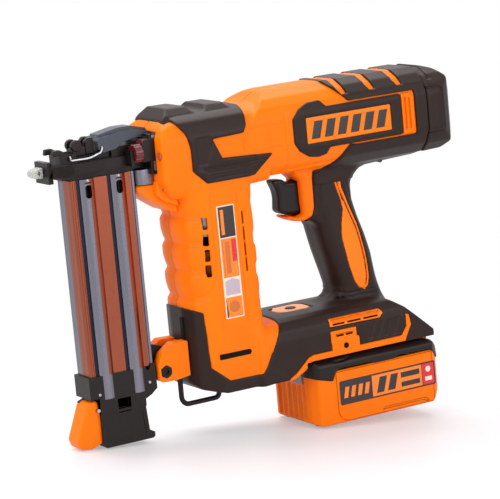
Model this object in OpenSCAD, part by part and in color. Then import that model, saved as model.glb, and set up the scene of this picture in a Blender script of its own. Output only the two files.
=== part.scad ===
// Cordless brad nailer with a battery under the grip. All sizes are in millimetres.
// X runs along the drive axis, with the nose at -X and the rear cap at +X.
// Y runs across the tool and Z is up.
// The origin is the bottom centre of the whole tool's box.

/* [Overall] */
// Height of the drive axis above the battery's underside
axis_z = 234; // [228:1:281]
// Reach of the no-mar tip in front of the origin
nose_reach = 181.5; // [176:0.5:190]
// Reach of the rear cap behind the origin
rear_reach = 181.5; // [178:0.5:218]

/* [Housing] */
// Width of the barrel and the column
body_w = 66; // [64:1:79]
// Wall of the moulded housing
wall = 2.5; // [2:0.1:3]
// Thickness of the soft overmoulding
skin = 2; // [1.2:0.1:2.4]
// Height of the barrel
barrel_h = 64; // [62:1:70]
// Length of the motor column along X
column_l = 58; // [54:1:62]
// Height of the column's underside
column_bottom = 46; // [44:1:47]
// Section of the bare grip along X
grip_l = 41; // [36:1:46]
// Section of the bare grip along Y
grip_w = 32; // [28:1:38]
// Backward lean of the grip in degrees
grip_lean = 14; // [12:1:16]
// Width of the base above the battery
base_w = 72; // [70:1:86]
// Height of the base's top face
base_top = 90; // [88:1:94]

/* [Battery] */
// Length of the battery along X
battery_l = 120; // [115:1:125]
// Width of the battery
battery_w = 70; // [69:1:72]
// Height of the battery's lower case
case_h = 44; // [44:1:46]
// Diameter of one cell
cell_d = 18.3; // [17:0.1:18.6]
// Length of one cell
cell_l = 65; // [60:1:66]

/* [Drive] */
// Stroke of the driver blade
stroke = 74; // [62:1:74]
// Bore of the air spring's cylinder
bore_d = 40; // [34:1:42]
// Outer diameter of the air spring's chamber
chamber_d = 56; // [53:1:58]
// Radius of the lifter wheel's pin circle
pin_r = 12; // [10:0.5:12.5]
// Outer diameter of the motor
motor_d = 42; // [35:1:44]
// Length of the motor's stator
motor_l = 50; // [42:1:54]
// Gear module of the whole train
gear_m = 1; // [0.9:0.05:1]

/* [Nose and magazine] */
// Longest brad that the magazine takes
brad_l = 50; // [42:1:50]
// Width of the magazine across the tool
magazine_w = 22; // [20:1:24]
// Length of the magazine's rail along Z
rail_l = 146; // [122:1:147]
// Travel of the nose contact
contact_travel = 8; // [6:0.5:8]
// Travel of the trigger
trigger_travel = 6; // [4:0.5:6]

/* [Hidden] */
$fn = 64;
clear = 0.3;         // gap between pieces that move past each other
fit = 0.05;          // radial play of a shaft or pin in its bore
over = 1;            // how far a cutting shape runs past a face
bevel_k = 2 - sqrt(2); // how much a 45 degree bevel shrinks per unit of inset

// Housing
front_x = -86;
mid_x = 6;
barrel_x1 = rear_reach - 31;
front_h = barrel_h - 2;
front_cz = axis_z - 4;
column_x = -41;
column_x1 = column_x + column_l / 2;
grip_x = 69;                  // centre of the grip where it leaves the barrel
grip_top = axis_z - 57;
base_x1 = 138;
pocket_z = column_bottom + 4; // underside of the base, where the battery starts
rail_z0 = pocket_z + 4.2;     // underside of the battery's rail flange
rail_z1 = pocket_z + 10.4;    // roof of the pocket for the rail
rail_half = 23.8;
neck_half = 20.4;
floor_z = rail_z1 + wall;     // floor inside the base
board_z = floor_z + 17;

// Drive train
wheel_x = -20;
wheel_y = pin_r + 2;
pins_pitch = 36;              // degrees between the wheel's pins
pin_count = 9;
lift_pin_r = 1.6;
tooth_pitch = pin_r * pins_pitch * PI / 180;
teeth_pinion = 26;
teeth_wheel = 28;
teeth_sun = 12;
teeth_planet = 12;
teeth_ring = teeth_sun + 2 * teeth_planet;
mesh_d = gear_m * (teeth_pinion + teeth_wheel) / 2;
motor_x = column_x;
motor_y = wheel_y - sqrt(mesh_d * mesh_d - pow(wheel_x - motor_x, 2));
mesh_angle = atan2(wheel_y - motor_y, wheel_x - motor_x);
planet_r = gear_m * (teeth_sun + teeth_planet) / 2;
gear_z = axis_z - 24.5;       // underside of the pinion and its wheel
gear_t = 6;
case_z0 = axis_z - 31.5;      // underside of the gear case
case_z1 = axis_z + 16;
case_x1 = 3;
train_z = axis_z - 68;        // underside of the planetary gearbox
ring_r = 23;
shaft_r = 3;
blade_t = 2;
blade_half = 1.5;             // half width of the blade's tip
rack_y0 = -7;
rack_x0 = wheel_x - tooth_pitch / 2 - 1.25;
cylinder_r = bore_d / 2 + 3;
piston_l = 14;
bumper_l = 10;
bumper_x = case_x1 + 4;
piston_x = bumper_x + bumper_l + clear + stroke;
chamber_x0 = case_x1 + 17;
chamber_x1 = barrel_x1 - wall - 1;

// Nose
nose_back = front_x - 3;
foot_x = -nose_reach + 9;     // front face of the contact foot
foot_t = 4;
nose_x0 = foot_x + foot_t + contact_travel + clear + 0.2;
nose_half = 9;
nose_z0 = axis_z - 9.5;
nose_z1 = axis_z + 9.5;
door_x0 = nose_x0 + 2;
door_x1 = -118;
door_z0 = axis_z + 2.8;
hinge_x = door_x0 + 4;
hinge_z = axis_z + 6.6;
latch_x = -122;
latch_z = axis_z + 12;
hook_x = nose_x0 + 10.7;       // hooks that the latch's wire pulls on
hook_z = nose_z1 - 2;
tip_rest = -97;               // blade tip before it fires
arm_y0 = -12.3;
contact_y = -16.5;
contact_z = axis_z + 3;
contact_x0 = -104;
contact_x1 = -80;
spring_x1 = -58;

// Magazine
brad_x1 = -101.7;
brad_x0 = brad_x1 - brad_l - 0.6;
mag_x0 = brad_x0 - 2.7;       // front face of the cover
mag_x1 = -101;
rail_top = nose_z0;
rail_bottom = rail_top - rail_l;
rail_half_w = magazine_w / 2 - 2.4;
cover_bottom = rail_bottom - 4.5;
cap_bottom = 18;
bolt_x = -92;
bolt_z = cover_bottom - 7;
lever_z = cover_bottom - 26;
lever_x = mag_x0 + 4;
mag_rib_x = [mag_x0 + 14, mag_x0 + 40];
mag_rib_r = 8.7;
mag_rib_proud = 2.4;          // how far the ribs stand off the cover

// Belt hook mount
belt_x = 55.5;
belt_y = base_w / 2 + skin;
belt_z = base_top - 27;
belt_hole_r = 2.1;
belt_hole_l = 12;

// Trigger
trigger_z0 = axis_z - 70;
trigger_z1 = axis_z - 42;
trigger_half = 6;
trigger_x0 = 28;
trigger_x1 = 54;              // back of the trigger's stem
switch_x = trigger_x1 + trigger_travel + 4;

// Screws that clamp the two housing halves, as [x, z]
screw_spots = [
    [column_x - 13, column_bottom + 12], [column_x + 20, column_bottom + 9], [114, base_top - 16],
    [grip_x + 12, axis_z - 92], [grip_x + 1, axis_z - 36], [118, axis_z - 36.5]
];

// ---- Shapes that repeat ----

module block(x, y, z) {
    translate([x[0], y[0], z[0]]) cube([x[1] - x[0], y[1] - y[0], z[1] - z[0]]);
}

// Extrudes a (Y, Z) outline from x0 to x1
module along_x(x0, x1) {
    translate([x0, 0, 0]) rotate([90, 0, 90]) linear_extrude(height = x1 - x0) children();
}

// Extrudes an (X, Z) outline from y0 to y1
module along_y(y0, y1) {
    translate([0, y1, 0]) rotate([90, 0, 0]) linear_extrude(height = y1 - y0) children();
}

module rod_x(x0, x1, y, z, r) {
    translate([x0, y, z]) rotate([0, 90, 0]) cylinder(r = r, h = x1 - x0);
}

module rod_y(x, y0, y1, z, r) {
    translate([x, y1, z]) rotate([90, 0, 0]) cylinder(r = r, h = y1 - y0);
}

module rod_z(x, y, z0, z1, r) {
    translate([x, y, z0]) cylinder(r = r, h = z1 - z0);
}

module bevelled(w, h, c) {
    polygon([
        [-w / 2 + c, -h / 2], [w / 2 - c, -h / 2], [w / 2, -h / 2 + c], [w / 2, h / 2 - c],
        [w / 2 - c, h / 2], [-w / 2 + c, h / 2], [-w / 2, h / 2 - c], [-w / 2, -h / 2 + c]
    ]);
}

// The same outline moved inwards by t
module bevelled_inset(w, h, c, t) {
    bevelled(w - 2 * t, h - 2 * t, c - bevel_k * t);
}

// An external gear with straight-flanked teeth and one tooth on the +X side
module gear(teeth, h) {
    root = gear_m * (teeth / 2 - 1.3);
    tip = gear_m * (teeth / 2 + 0.9);
    linear_extrude(height = h) {
        circle(r = root);
        for (i = [0 : teeth - 1])
            rotate(i * 360 / teeth)
                polygon([
                    [root - 0.4, -0.8 * gear_m], [tip, -0.3 * gear_m],
                    [tip, 0.3 * gear_m], [root - 0.4, 0.8 * gear_m]
                ]);
    }
}

// A coil spring along +Z, swept as a closed tube
module coil(r, wire_r, h, turns) {
    sides = 8;
    steps = turns * 14;
    ring = [for (i = [0 : steps]) for (k = [0 : sides - 1])
        let (
            a = 360 * turns * i / steps,
            b = 360 * k / sides,
            z = wire_r + (h - 2 * wire_r) * i / steps,
            rr = r + wire_r * cos(b)
        ) [rr * cos(a), rr * sin(a), z + wire_r * sin(b)]];
    walls = [for (i = [0 : steps - 1]) for (k = [0 : sides - 1])
        let (j = (k + 1) % sides)
        [i * sides + k, (i + 1) * sides + k, (i + 1) * sides + j, i * sides + j]];
    start = [[for (k = [0 : sides - 1]) k]];
    end = [[for (k = [sides - 1 : -1 : 0]) steps * sides + k]];
    polyhedron(points = ring, faces = concat(start, walls, end));
}

// ---- Housing ----

module front_section(t) {
    translate([0, front_cz]) bevelled_inset(body_w, front_h, 9, t);
}

module barrel_section(t) {
    translate([0, axis_z]) bevelled_inset(body_w, barrel_h, 16, t);
}

module column_section(t) {
    translate([column_x, 0]) bevelled_inset(column_l, body_w, 10, t);
}

module grip_section(t) {
    bevelled_inset(grip_l, grip_w, 9, t);
}

module grip_place() {
    translate([grip_x, 0, grip_top]) rotate([0, -grip_lean, 0]) children();
}

module neck_outline(t) {
    polygon([
        [38 + t, axis_z - 20], [38 + t, axis_z - 44], [48 + t, grip_top - 17 + t],
        [92 - t, grip_top - 17 + t], [94 - t, grip_top + 5], [113, axis_z - 42 + t],
        [barrel_x1 - t, axis_z - 33 + t], [barrel_x1 - t, axis_z - 20]
    ]);
}

module base_outline(t) {
    polygon([
        [column_x1 - 6, base_top - t], [106 - t / 2, base_top - t], [base_x1 - t, pocket_z + 8],
        [base_x1 - t, pocket_z], [16, pocket_z], [8, column_bottom], [column_x1 - 6, column_bottom]
    ]);
}

module outer_mass() {
    along_x(front_x, mid_x) front_section(0);
    along_x(mid_x - over, barrel_x1) barrel_section(0);
    translate([0, 0, column_bottom])
        linear_extrude(height = axis_z - 20 - column_bottom) column_section(0);
    along_y(-grip_w / 2, grip_w / 2) neck_outline(0);
    grip_place() translate([0, 0, -(grip_top - floor_z) / cos(grip_lean)])
        linear_extrude(height = (grip_top - floor_z) / cos(grip_lean) + 10) grip_section(0);
    along_y(-base_w / 2, base_w / 2) base_outline(0);
}

module inner_mass() {
    along_x(front_x + wall, mid_x) front_section(wall);
    along_x(mid_x - over, barrel_x1 - wall) barrel_section(wall);
    translate([0, 0, column_bottom + wall])
        linear_extrude(height = axis_z - 20 - column_bottom) column_section(wall);
    along_y(-grip_w / 2 + wall, grip_w / 2 - wall) neck_outline(wall);
    grip_place() translate([0, 0, -(grip_top - floor_z - 6) / cos(grip_lean)])
        linear_extrude(height = (grip_top - floor_z - 6) / cos(grip_lean) + 8) grip_section(wall);
    intersection() {
        along_y(-base_w / 2 + wall, base_w / 2 - wall) base_outline(wall);
        block([column_x1 - 5, base_x1 - 6], [-base_w, base_w], [floor_z, base_top]);
    }
}

// Ribs and posts inside the shell that carry what it holds
module inner_ribs() {
    for (x = [chamber_x0 + 6, chamber_x1 - 10])
        difference() {
            along_x(x, x + 3) barrel_section(wall - 0.1);
            rod_x(x - over, x + 3 + over, 0, axis_z, chamber_d / 2 + fit);
        }
    for (z = [train_z - 58, train_z - 20])
        rib_ring(z, motor_d / 2 + fit);
    rib_ring(train_z + 8, ring_r + fit);
    rib_ring(train_z - 72, 9.5 + fit);
    for (x = [3, 45])
        for (y = [-20, 20])
            rod_z(x, y, floor_z - 0.2, board_z, 3);
    screw_posts();
}

module rib_ring(z, r) {
    difference() {
        translate([0, 0, z]) linear_extrude(height = 3) column_section(wall - 0.1);
        rod_z(motor_x, motor_y, z - over, z + 3 + over, r);
    }
}

module screw_posts() {
    intersection() {
        for (p = screw_spots)
            rod_y(p[0], -body_w / 2 + 1, body_w / 2 - 1, p[1], 4.5);
        outer_mass();
    }
}

module screw_shapes(shank, head, play) {
    for (p = screw_spots) {
        edge = screw_depth(p);
        rod_y(p[0], -edge + 3, edge + play, p[1], shank);
        rod_y(p[0], edge - 3.2, edge + play, p[1], head);
    }
}

// Half width of the housing where each screw enters
function screw_depth(p) =
    abs(p[0] - column_x) < column_l / 2 ? body_w / 2 - 1.5
    : p[1] < base_top ? base_w / 2 - 1.5
    : grip_w / 2 - 1.5;

module vent_slots() {
    for (side = [-1, 1])
        for (i = [0 : 3]) {
            block([column_x - 16, column_x - 9], [side * body_w / 2 - 4, side * body_w / 2 + 4],
                  [train_z - 30 + 12 * i, train_z - 21.5 + 12 * i]);
            block([column_x1 - 11, column_x1 - 6.5], [side * body_w / 2 - 4, side * body_w / 2 + 4],
                  [train_z - 30 + 12 * i, train_z - 20 + 12 * i]);
        }
}

module battery_pocket() {
    block([22, base_x1 + over], [-neck_half, neck_half], [pocket_z - over, rail_z0 + 0.2]);
    block([22, base_x1 + over], [-rail_half, rail_half], [rail_z0, rail_z1]);
}

module housing_cuts() {
    block([front_x - over, front_x + wall + over], [-20, 20], [axis_z - 14, axis_z + 16.3]);
    block([trigger_x0 + 5, switch_x - 1.7], [-trigger_half - 0.4, trigger_half + 0.4],
          [trigger_z0 - 0.5, trigger_z1 + 0.5]);
    rod_z(30, 0, board_z + 2, base_top + over, 4.4);
    for (side = [-1, 1])
        rod_x(front_x - over, front_x + wall + over, side * 26, axis_z - 1, 3 + fit);
    vent_slots();
    battery_pocket();
    screw_shapes(1.7, 3.4, 5);
    for (side = [-1, 1])
        rod_y(belt_x, side * belt_y - belt_hole_l, side * belt_y + belt_hole_l, belt_z, belt_hole_r);
}

// Raised mount for a belt hook on each side of the base, with a threaded post behind it
module hook_bosses() {
    for (side = [-1, 1]) {
        y = side * belt_y;
        y_in = side * (belt_y - belt_hole_l);
        block([belt_x - 12.5, belt_x + 12.5], [min(y, side * base_w / 2), max(y, side * base_w / 2)],
              [belt_z - 5, belt_z + 13]);
        rod_y(belt_x, min(y, y_in), max(y, y_in), belt_z, 5);
    }
}

// Raised coloured areas that stand in the overmoulding's windows
module side_pads() {
    for (side = [-1, 1]) {
        y0 = side * body_w / 2;
        y1 = side * (body_w / 2 + skin);
        along_y(min(y0, y1), max(y0, y1)) side_panel_outline(0);
    }
}

module side_panel_outline(t) {
    polygon([
        [column_x - 20 + t, column_bottom + 58 - t], [column_x + 26 - t, column_bottom + 47 - t],
        [column_x + 26 - t, column_bottom + 6 + t], [column_x - 8, column_bottom + 4 + t],
        [column_x - 18 + t, column_bottom + 14]
    ]);
}

module housing_half(side) {
    difference() {
        intersection() {
            union() {
                difference() {
                    outer_mass();
                    inner_mass();
                }
                inner_ribs();
                hook_bosses();
                side_pads();
            }
            if (side < 0) block([-300, 300], [-60, 0], [0, 400]);
            else block([-300, 300], [0, 60], [0, 400]);
        }
        housing_cuts();
    }
}

module housing_left() {
    color("darkorange") housing_half(-1);
}

module housing_right() {
    color("darkorange") housing_half(1);
}

module front_overmold() {
    color("#3a2c2a") difference() {
        intersection() {
            along_x(front_x + 14, mid_x - 26) front_section(-skin);
            block([front_x, mid_x], [-60, 60], [axis_z - 8, axis_z + 60]);
        }
        along_x(front_x, mid_x) front_section(0);
    }
}

module rear_overmold() {
    color("#3a2c2a") difference() {
        along_x(64, barrel_x1) barrel_section(-skin);
        along_x(60, barrel_x1 + over) barrel_section(0);
        along_y(-grip_w / 2 - clear, grip_w / 2 + clear) polygon([
            [60, axis_z - 60], [barrel_x1 + over, axis_z - 60], [barrel_x1 + over, axis_z], [60, axis_z]
        ]);
        block([60, 124], [-60, 60], [axis_z - 11, axis_z + 11]);
    }
}

module rear_cap() {
    color("#3a2c2a") difference() {
        intersection() {
            along_x(barrel_x1, rear_reach) barrel_section(-skin - 0.8);
            along_y(-60, 60) polygon([
                [barrel_x1, axis_z - 40], [rear_reach - 9, axis_z - 40], [rear_reach, axis_z - 24],
                [rear_reach, axis_z + 24], [rear_reach - 9, axis_z + 40], [barrel_x1, axis_z + 40]
            ]);
        }
        along_x(barrel_x1 - over, rear_reach - 4) translate([0, axis_z]) bevelled(48, 46, 12);
    }
}

module grip_overmold() {
    color("#3a2c2a") difference() {
        grip_place() translate([0, 0, -(grip_top - base_top) / cos(grip_lean) + 4])
            linear_extrude(height = (grip_top - base_top) / cos(grip_lean) - 26) grip_section(-1.5);
        grip_place() translate([0, 0, -150]) linear_extrude(height = 200) grip_section(0);
        block([0, 200], [-60, 60], [0, base_top]);
    }
}

module boot_overmold() {
    color("#3a2c2a") difference() {
        translate([0, 0, column_bottom + 8]) linear_extrude(height = 56) column_section(-1.5);
        translate([0, 0, column_bottom]) linear_extrude(height = 100) column_section(0);
        block([column_x1 - 8, 60], [-60, 60], [0, 300]);
        along_y(-60, 60) side_panel_outline(-clear);
    }
}

module base_overmold() {
    color("#3a2c2a") for (side = [-1, 1]) {
        y0 = side * base_w / 2;
        y1 = side * (base_w / 2 + 1.5);
        difference() {
            along_y(min(y0, y1), max(y0, y1)) polygon([
                [column_x1 + 2, base_top - 4], [103, base_top - 4], [base_x1 - 4, pocket_z + 9],
                [base_x1 - 4, pocket_z + 6], [20, pocket_z + 6], [column_x1 + 2, column_bottom + 6]
            ]);
            block([belt_x - 12.5 - clear, belt_x + 12.5 + clear], [-60, 60], [belt_z - 5 - clear, belt_z + 13 + clear]);
        }
    }
}

module name_plates() {
    color("orange") for (side = [-1, 1]) {
        y0 = side * body_w / 2;
        y1 = side * (body_w / 2 + skin);
        block([39, 117], [min(y0, y1), max(y0, y1)], [axis_z - 10, axis_z + 10]);
    }
}

module mode_panel() {
    color("orange") difference() {
        block([15, 44], [-14, 14], [base_top, base_top + 2]);
        rod_z(30, 0, base_top - over, base_top + 2 + over, 4.4);
    }
}

module mode_button() {
    color("#2a2424") {
        rod_z(30, 0, base_top - 1.5, base_top + 3.2, 4);
        rod_z(30, 0, board_z + 3.3, base_top - 1.5, 2);
    }
}

module housing_screws() {
    color("dimgray") difference() {
        screw_shapes(1.65, 3.3, 0);
        for (p = screw_spots)
            rod_y(p[0], screw_depth(p) - 1.8, screw_depth(p) + over, p[1], 1.3);
    }
}

module control_board() {
    color("seagreen") {
        block([-4, 52], [-26, 26], [board_z, board_z + 1.6]);
        for (x = [2, 12, 42])
            block([x, x + 7], [-18, -8], [board_z + 1.6, board_z + 4.6]);
        rod_z(8, 14, board_z + 1.6, board_z + 6.4, 4);
    }
}

module terminal_block() {
    color("#2a2424") {
        block([22, 30], [-15, 15], [rail_z0 + 0.6, rail_z1 - 0.2]);
        for (y = [-12, -4, 4, 12])
            block([30, 41], [y - 0.4, y + 0.4], [rail_z0 + 1.4, rail_z1 - 1]);
    }
}

// ---- Battery ----

battery_x = 24;
battery_mid = battery_x + battery_l / 2;
foot_h = 1.5;
case_wall = 2;
cell_pitch = cell_d + 0.7;

module battery_plan(t) {
    translate([battery_mid, 0]) bevelled_inset(battery_l, battery_w, 8, t);
}

module battery_case() {
    color("darkorange") {
        difference() {
            translate([0, 0, foot_h]) linear_extrude(height = case_h - foot_h) battery_plan(0);
            translate([0, 0, foot_h + case_wall]) linear_extrude(height = case_h) battery_plan(case_wall);
        }
        for (x = [battery_x + 14, battery_x + battery_l - 14])
            for (y = [-22, 22])
                rod_z(x, y, 0, foot_h + 0.5, 7);
    }
}

module battery_top() {
    color("#2a2424") difference() {
        union() {
            translate([0, 0, case_h]) linear_extrude(height = pocket_z - clear - case_h) battery_plan(1.2);
            block([31, 132], [-neck_half + 0.4, neck_half - 0.4], [pocket_z - 1, rail_z0 + over]);
            block([31, 132], [-rail_half + 0.4, rail_half - 0.4], [rail_z0 + 0.4, rail_z1 - 0.4]);
        }
        translate([0, 0, case_h - over]) linear_extrude(height = 3.5) battery_plan(3.5);
        for (y = [-12, -4, 4, 12])
            block([30, 46], [y - 0.9, y + 0.9], [rail_z0 + 0.8, rail_z1]);
        block([battery_x + battery_l - 16, battery_x + battery_l + over], [-11.4, 11.4],
              [case_h - over, rail_z1]);
    }
}

module battery_cells() {
    color("teal") for (i = [-2 : 2])
        for (row = [0, 1])
            rod_y(battery_mid + i * cell_pitch, -cell_l / 2, cell_l / 2,
                  foot_h + case_wall + cell_d / 2 + 0.2 + row * (cell_d + 0.5), cell_d / 2);
}

module battery_board() {
    color("seagreen") {
        block([battery_x + 8, battery_x + 92], [-24, 24], [case_h + 0.2, case_h + 1.8]);
        block([50, 66], [-14, 14], [case_h + 1.8, case_h + 2.4]);
    }
}

module battery_button() {
    color("darkred") {
        block([battery_x + battery_l - 15, battery_x + battery_l - 1.4], [-11, 11],
              [case_h + 3.2, pocket_z + 3]);
        block([battery_x + battery_l - 15, battery_x + battery_l - 12.3], [-11, 11],
              [pocket_z + 3, rail_z1 - 2]);
    }
}

module battery_button_spring() {
    color("silver") for (y = [-6, 6])
        translate([battery_x + battery_l - 8, y, case_h - 5.8]) coil(2.4, 0.4, 8.8, 4);
}

// ---- Air spring and driver ----

module cylinder_tube() {
    difference() {
        union() {
            rod_x(case_x1, case_x1 + 4, 0, axis_z, cylinder_r + 1);
            rod_x(case_x1, chamber_x1 - 15, 0, axis_z, cylinder_r);
        }
        rod_x(case_x1 + 4, chamber_x1, 0, axis_z, bore_d / 2);
        blade_slot(case_x1 - over, case_x1 + 4 + over);
    }
}

// Clear way for the blade's wide part
module blade_slot(x0, x1) {
    block([x0, x1], [rack_y0 - 0.5, 3.6], [axis_z - blade_t / 2 - 0.5, axis_z + blade_t / 2 + 0.5]);
}

module gas_chamber() {
    color("gainsboro") difference() {
        rod_x(chamber_x0, chamber_x1, 0, axis_z, chamber_d / 2);
        rod_x(chamber_x0 + 4, chamber_x1 - 4, 0, axis_z, chamber_d / 2 - 2.5);
        rod_x(chamber_x0 - over, chamber_x0 + 5, 0, axis_z, cylinder_r + fit);
    }
}

module piston() {
    color("silver") difference() {
        rod_x(piston_x, piston_x + piston_l, 0, axis_z, bore_d / 2 - fit);
        rod_x(piston_x + 4, piston_x + piston_l + over, 0, axis_z, bore_d / 2 - 5);
        piston_groove();
    }
}

module piston_groove() {
    difference() {
        rod_x(piston_x + 7, piston_x + 10, 0, axis_z, bore_d / 2 + over);
        rod_x(piston_x, piston_x + piston_l, 0, axis_z, bore_d / 2 - 3);
    }
}

module piston_seal() {
    color("#202020") difference() {
        rod_x(piston_x + 7, piston_x + 10, 0, axis_z, bore_d / 2 - 0.02);
        rod_x(piston_x, piston_x + piston_l, 0, axis_z, bore_d / 2 - 3);
    }
}

module driver_blade() {
    color("silver") {
        block([tip_rest, rack_x0], [-blade_half, blade_half], [axis_z - blade_t / 2, axis_z + blade_t / 2]);
        block([rack_x0, piston_x], [rack_y0, 0], [axis_z - blade_t / 2, axis_z + blade_t / 2]);
        for (k = [0 : pin_count])
            translate([wheel_x + (k - 0.5) * tooth_pitch, 0, axis_z - blade_t / 2])
                linear_extrude(height = blade_t)
                    polygon([[-1.25, -over], [1.25, -over], [1.25, 2.2], [0.6, 3], [-0.6, 3], [-1.25, 2.2]]);
    }
}

module bumper() {
    color("#202020") difference() {
        rod_x(bumper_x, bumper_x + bumper_l, 0, axis_z, bore_d / 2 - fit);
        blade_slot(bumper_x - over, bumper_x + bumper_l + over);
    }
}

// ---- Lifter and gear train ----

module lifter_wheel() {
    color("darkgray") translate([wheel_x, wheel_y, 0]) {
        translate([0, 0, gear_z]) rotate(mesh_angle + 180 + 180 / teeth_wheel) gear(teeth_wheel, gear_t);
        rod_z(0, 0, gear_z + gear_t, axis_z + 9.5, 5.5);
        rod_z(0, 0, axis_z - 14, axis_z - 10, pin_r + 2.4);
        for (k = [0 : pin_count - 1])
            rotate(-90 + k * pins_pitch) rod_z(pin_r, 0, axis_z - 11, axis_z + 3, lift_pin_r);
        rod_z(0, 0, case_z0 + 0.5, case_z1 - 0.5, 4);
    }
}

module bearing(x, y, z, r_in, r_out, t) {
    translate([x, y, z]) difference() {
        cylinder(r = r_out, h = t);
        translate([0, 0, -over]) cylinder(r = r_in + fit, h = t + 2 * over);
    }
}

module ball_bearings() {
    color("lightgray") {
        bearing(wheel_x, wheel_y, case_z0 + 0.5, 4, 8, 5);
        bearing(wheel_x, wheel_y, case_z1 - 5.5, 4, 8, 5);
        bearing(motor_x, motor_y, case_z0 + 0.5, 4, 8, 5);
        bearing(motor_x, motor_y, train_z, shaft_r, 9.5, 5);
        bearing(motor_x, motor_y, train_z - 72, shaft_r, 9.5, 5);
    }
}

module gear_case() {
    color("gray") difference() {
        union() {
            along_x(front_x + wall + 0.3, case_x1)
                translate([0, (case_z0 + case_z1) / 2]) bevelled(54, case_z1 - case_z0, 10);
            block([nose_back, front_x + wall + over], [-19, 19], [axis_z - 12, axis_z + 14]);
        }
        rod_z(wheel_x, wheel_y, gear_z - 1, axis_z + 9.8, gear_m * (teeth_wheel / 2 + 0.9) + 0.6);
        rod_z(motor_x, motor_y, gear_z - 1, gear_z + gear_t + 0.5, gear_m * (teeth_pinion / 2 + 0.9) + 0.6);
        for (p = [[wheel_x, wheel_y], [motor_x, motor_y]]) {
            rod_z(p[0], p[1], case_z0 - over, case_z0 + 5.5, 8 + fit);
            rod_z(p[0], p[1], case_z0 - over, gear_z, 5);
        }
        rod_z(wheel_x, wheel_y, case_z1 - 5.5, case_z1 + over, 8 + fit);
        rod_z(wheel_x, wheel_y, axis_z, case_z1, 6.2);
        blade_slot(nose_back - over, case_x1 + over);
        rod_x(nose_back - over, spring_x1, contact_y, contact_z, 4.2);
        nose_screw_shapes(1.75, 0);
    }
}

module stator() {
    color("#a8642c") difference() {
        rod_z(motor_x, motor_y, train_z - 62, train_z - 62 + motor_l, motor_d / 2);
        rod_z(motor_x, motor_y, train_z - 62 - over, train_z - 61 + motor_l, 11.6);
        for (i = [0 : 5])
            translate([motor_x, motor_y, train_z - 62 - over]) rotate(i * 60)
                translate([11, -2.2, 0]) cube([motor_d / 2 - 14, 4.4, motor_l + 2 * over]);
    }
}

module rotor() {
    color("slategray") difference() {
        rod_z(motor_x, motor_y, train_z - 60, train_z - 64 + motor_l, 11);
        rod_z(motor_x, motor_y, train_z - 60 - over, train_z - 60 + motor_l, shaft_r);
    }
}

module motor_shaft() {
    color("silver") {
        rod_z(motor_x, motor_y, train_z - 71, train_z + 8.6, shaft_r);
        translate([motor_x, motor_y, train_z + 8.6]) gear(teeth_sun, 14);
    }
}

module cooling_fan() {
    color("#2a2424") translate([motor_x, motor_y, train_z - 10]) difference() {
        union() {
            cylinder(r = 19, h = 1.6);
            cylinder(r = 5.5, h = 7);
            for (i = [0 : 10])
                rotate(i * 360 / 11) translate([8, -0.6, 0]) cube([10.5, 1.2, 6.5]);
        }
        translate([0, 0, -over]) cylinder(r = shaft_r, h = 10);
    }
}

module ring_gear() {
    root = gear_m * (teeth_ring / 2 + 1.3);
    tip = gear_m * (teeth_ring / 2 - 0.9);
    color("gray") translate([motor_x, motor_y, train_z]) {
        difference() {
            cylinder(r = ring_r, h = 24);
            translate([0, 0, 7]) cylinder(r = root, h = 20);
            translate([0, 0, -over]) cylinder(r = 9.5 + fit, h = 5 + over);
            cylinder(r = shaft_r + 1.2, h = 10);
        }
        translate([0, 0, 7]) linear_extrude(height = 16)
            for (i = [0 : teeth_ring - 1])
                rotate(i * 360 / teeth_ring)
                    polygon([
                        [root + 0.3, -0.8 * gear_m], [root + 0.3, 0.8 * gear_m],
                        [tip, 0.3 * gear_m], [tip, -0.3 * gear_m]
                    ]);
    }
}

// Planet number k, a third of a turn after the one before
module planet(k) {
    color("silver") translate([motor_x, motor_y, train_z + 8.6]) rotate(k * 120) translate([planet_r, 0, 0])
        difference() {
            rotate(180 / teeth_planet) gear(teeth_planet, 13);
            translate([0, 0, -over]) cylinder(r = 2.4 + fit, h = 13 + 2 * over);
        }
}

module planet_gear_1() {
    planet(0);
}

module planet_gear_2() {
    planet(1);
}

module planet_gear_3() {
    planet(2);
}

module planet_carrier() {
    color("darkgray") translate([motor_x, motor_y, 0]) {
        rod_z(0, 0, train_z + 24.4, train_z + 28, 17.5);
        for (k = [0 : 2])
            rotate(k * 120) rod_z(planet_r, 0, train_z + 8.9, train_z + 25, 2.4);
        rod_z(0, 0, train_z + 28, gear_z, 4);
        translate([0, 0, gear_z]) rotate(mesh_angle) gear(teeth_pinion, gear_t);
    }
}

// ---- Nose ----

module nosepiece() {
    color("#3b3b40") difference() {
        union() {
            block([nose_x0, nose_back], [-nose_half, nose_half], [nose_z0, door_z0 - 0.3]);
            block([nose_x0, hook_x + 3], [-nose_half, nose_half], [nose_z0, nose_z1]);
            block([door_x1 + 1, nose_back], [-nose_half, nose_half], [nose_z0, nose_z1]);
            block([nose_back - 4, nose_back], [-nose_half, 18], [nose_z0 + 0.2, nose_z1 + 3]);
        }
        block([nose_x0 - over, nose_back + over], [-1.9, 1.9],
              [axis_z - blade_t / 2 - 0.4, axis_z + blade_t / 2 + 0.4]);
        blade_slot(tip_rest - 4, nose_back + over);
        block([brad_x0, brad_x1], [-0.9, 0.9], [nose_z0 - over, axis_z]);
        block([door_x0 - clear, door_x1 + 2], [-7, 7], [door_z0 - 0.3, nose_z1 + over]);
        block([hinge_x, door_x1], [-1.9, 1.9], [axis_z, door_z0]);
        rod_y(hinge_x, -nose_half - over, nose_half + over, hinge_z, 1.5 + fit);
        nose_screw_shapes(1.75, 3.2);
    }
    color("#3b3b40") for (side = [-1, 1])
        rod_y(hook_x, side < 0 ? -nose_half - 1.2 : nose_half - over,
              side < 0 ? -nose_half + over : nose_half + 1.2, hook_z, 1.6);
}

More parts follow.
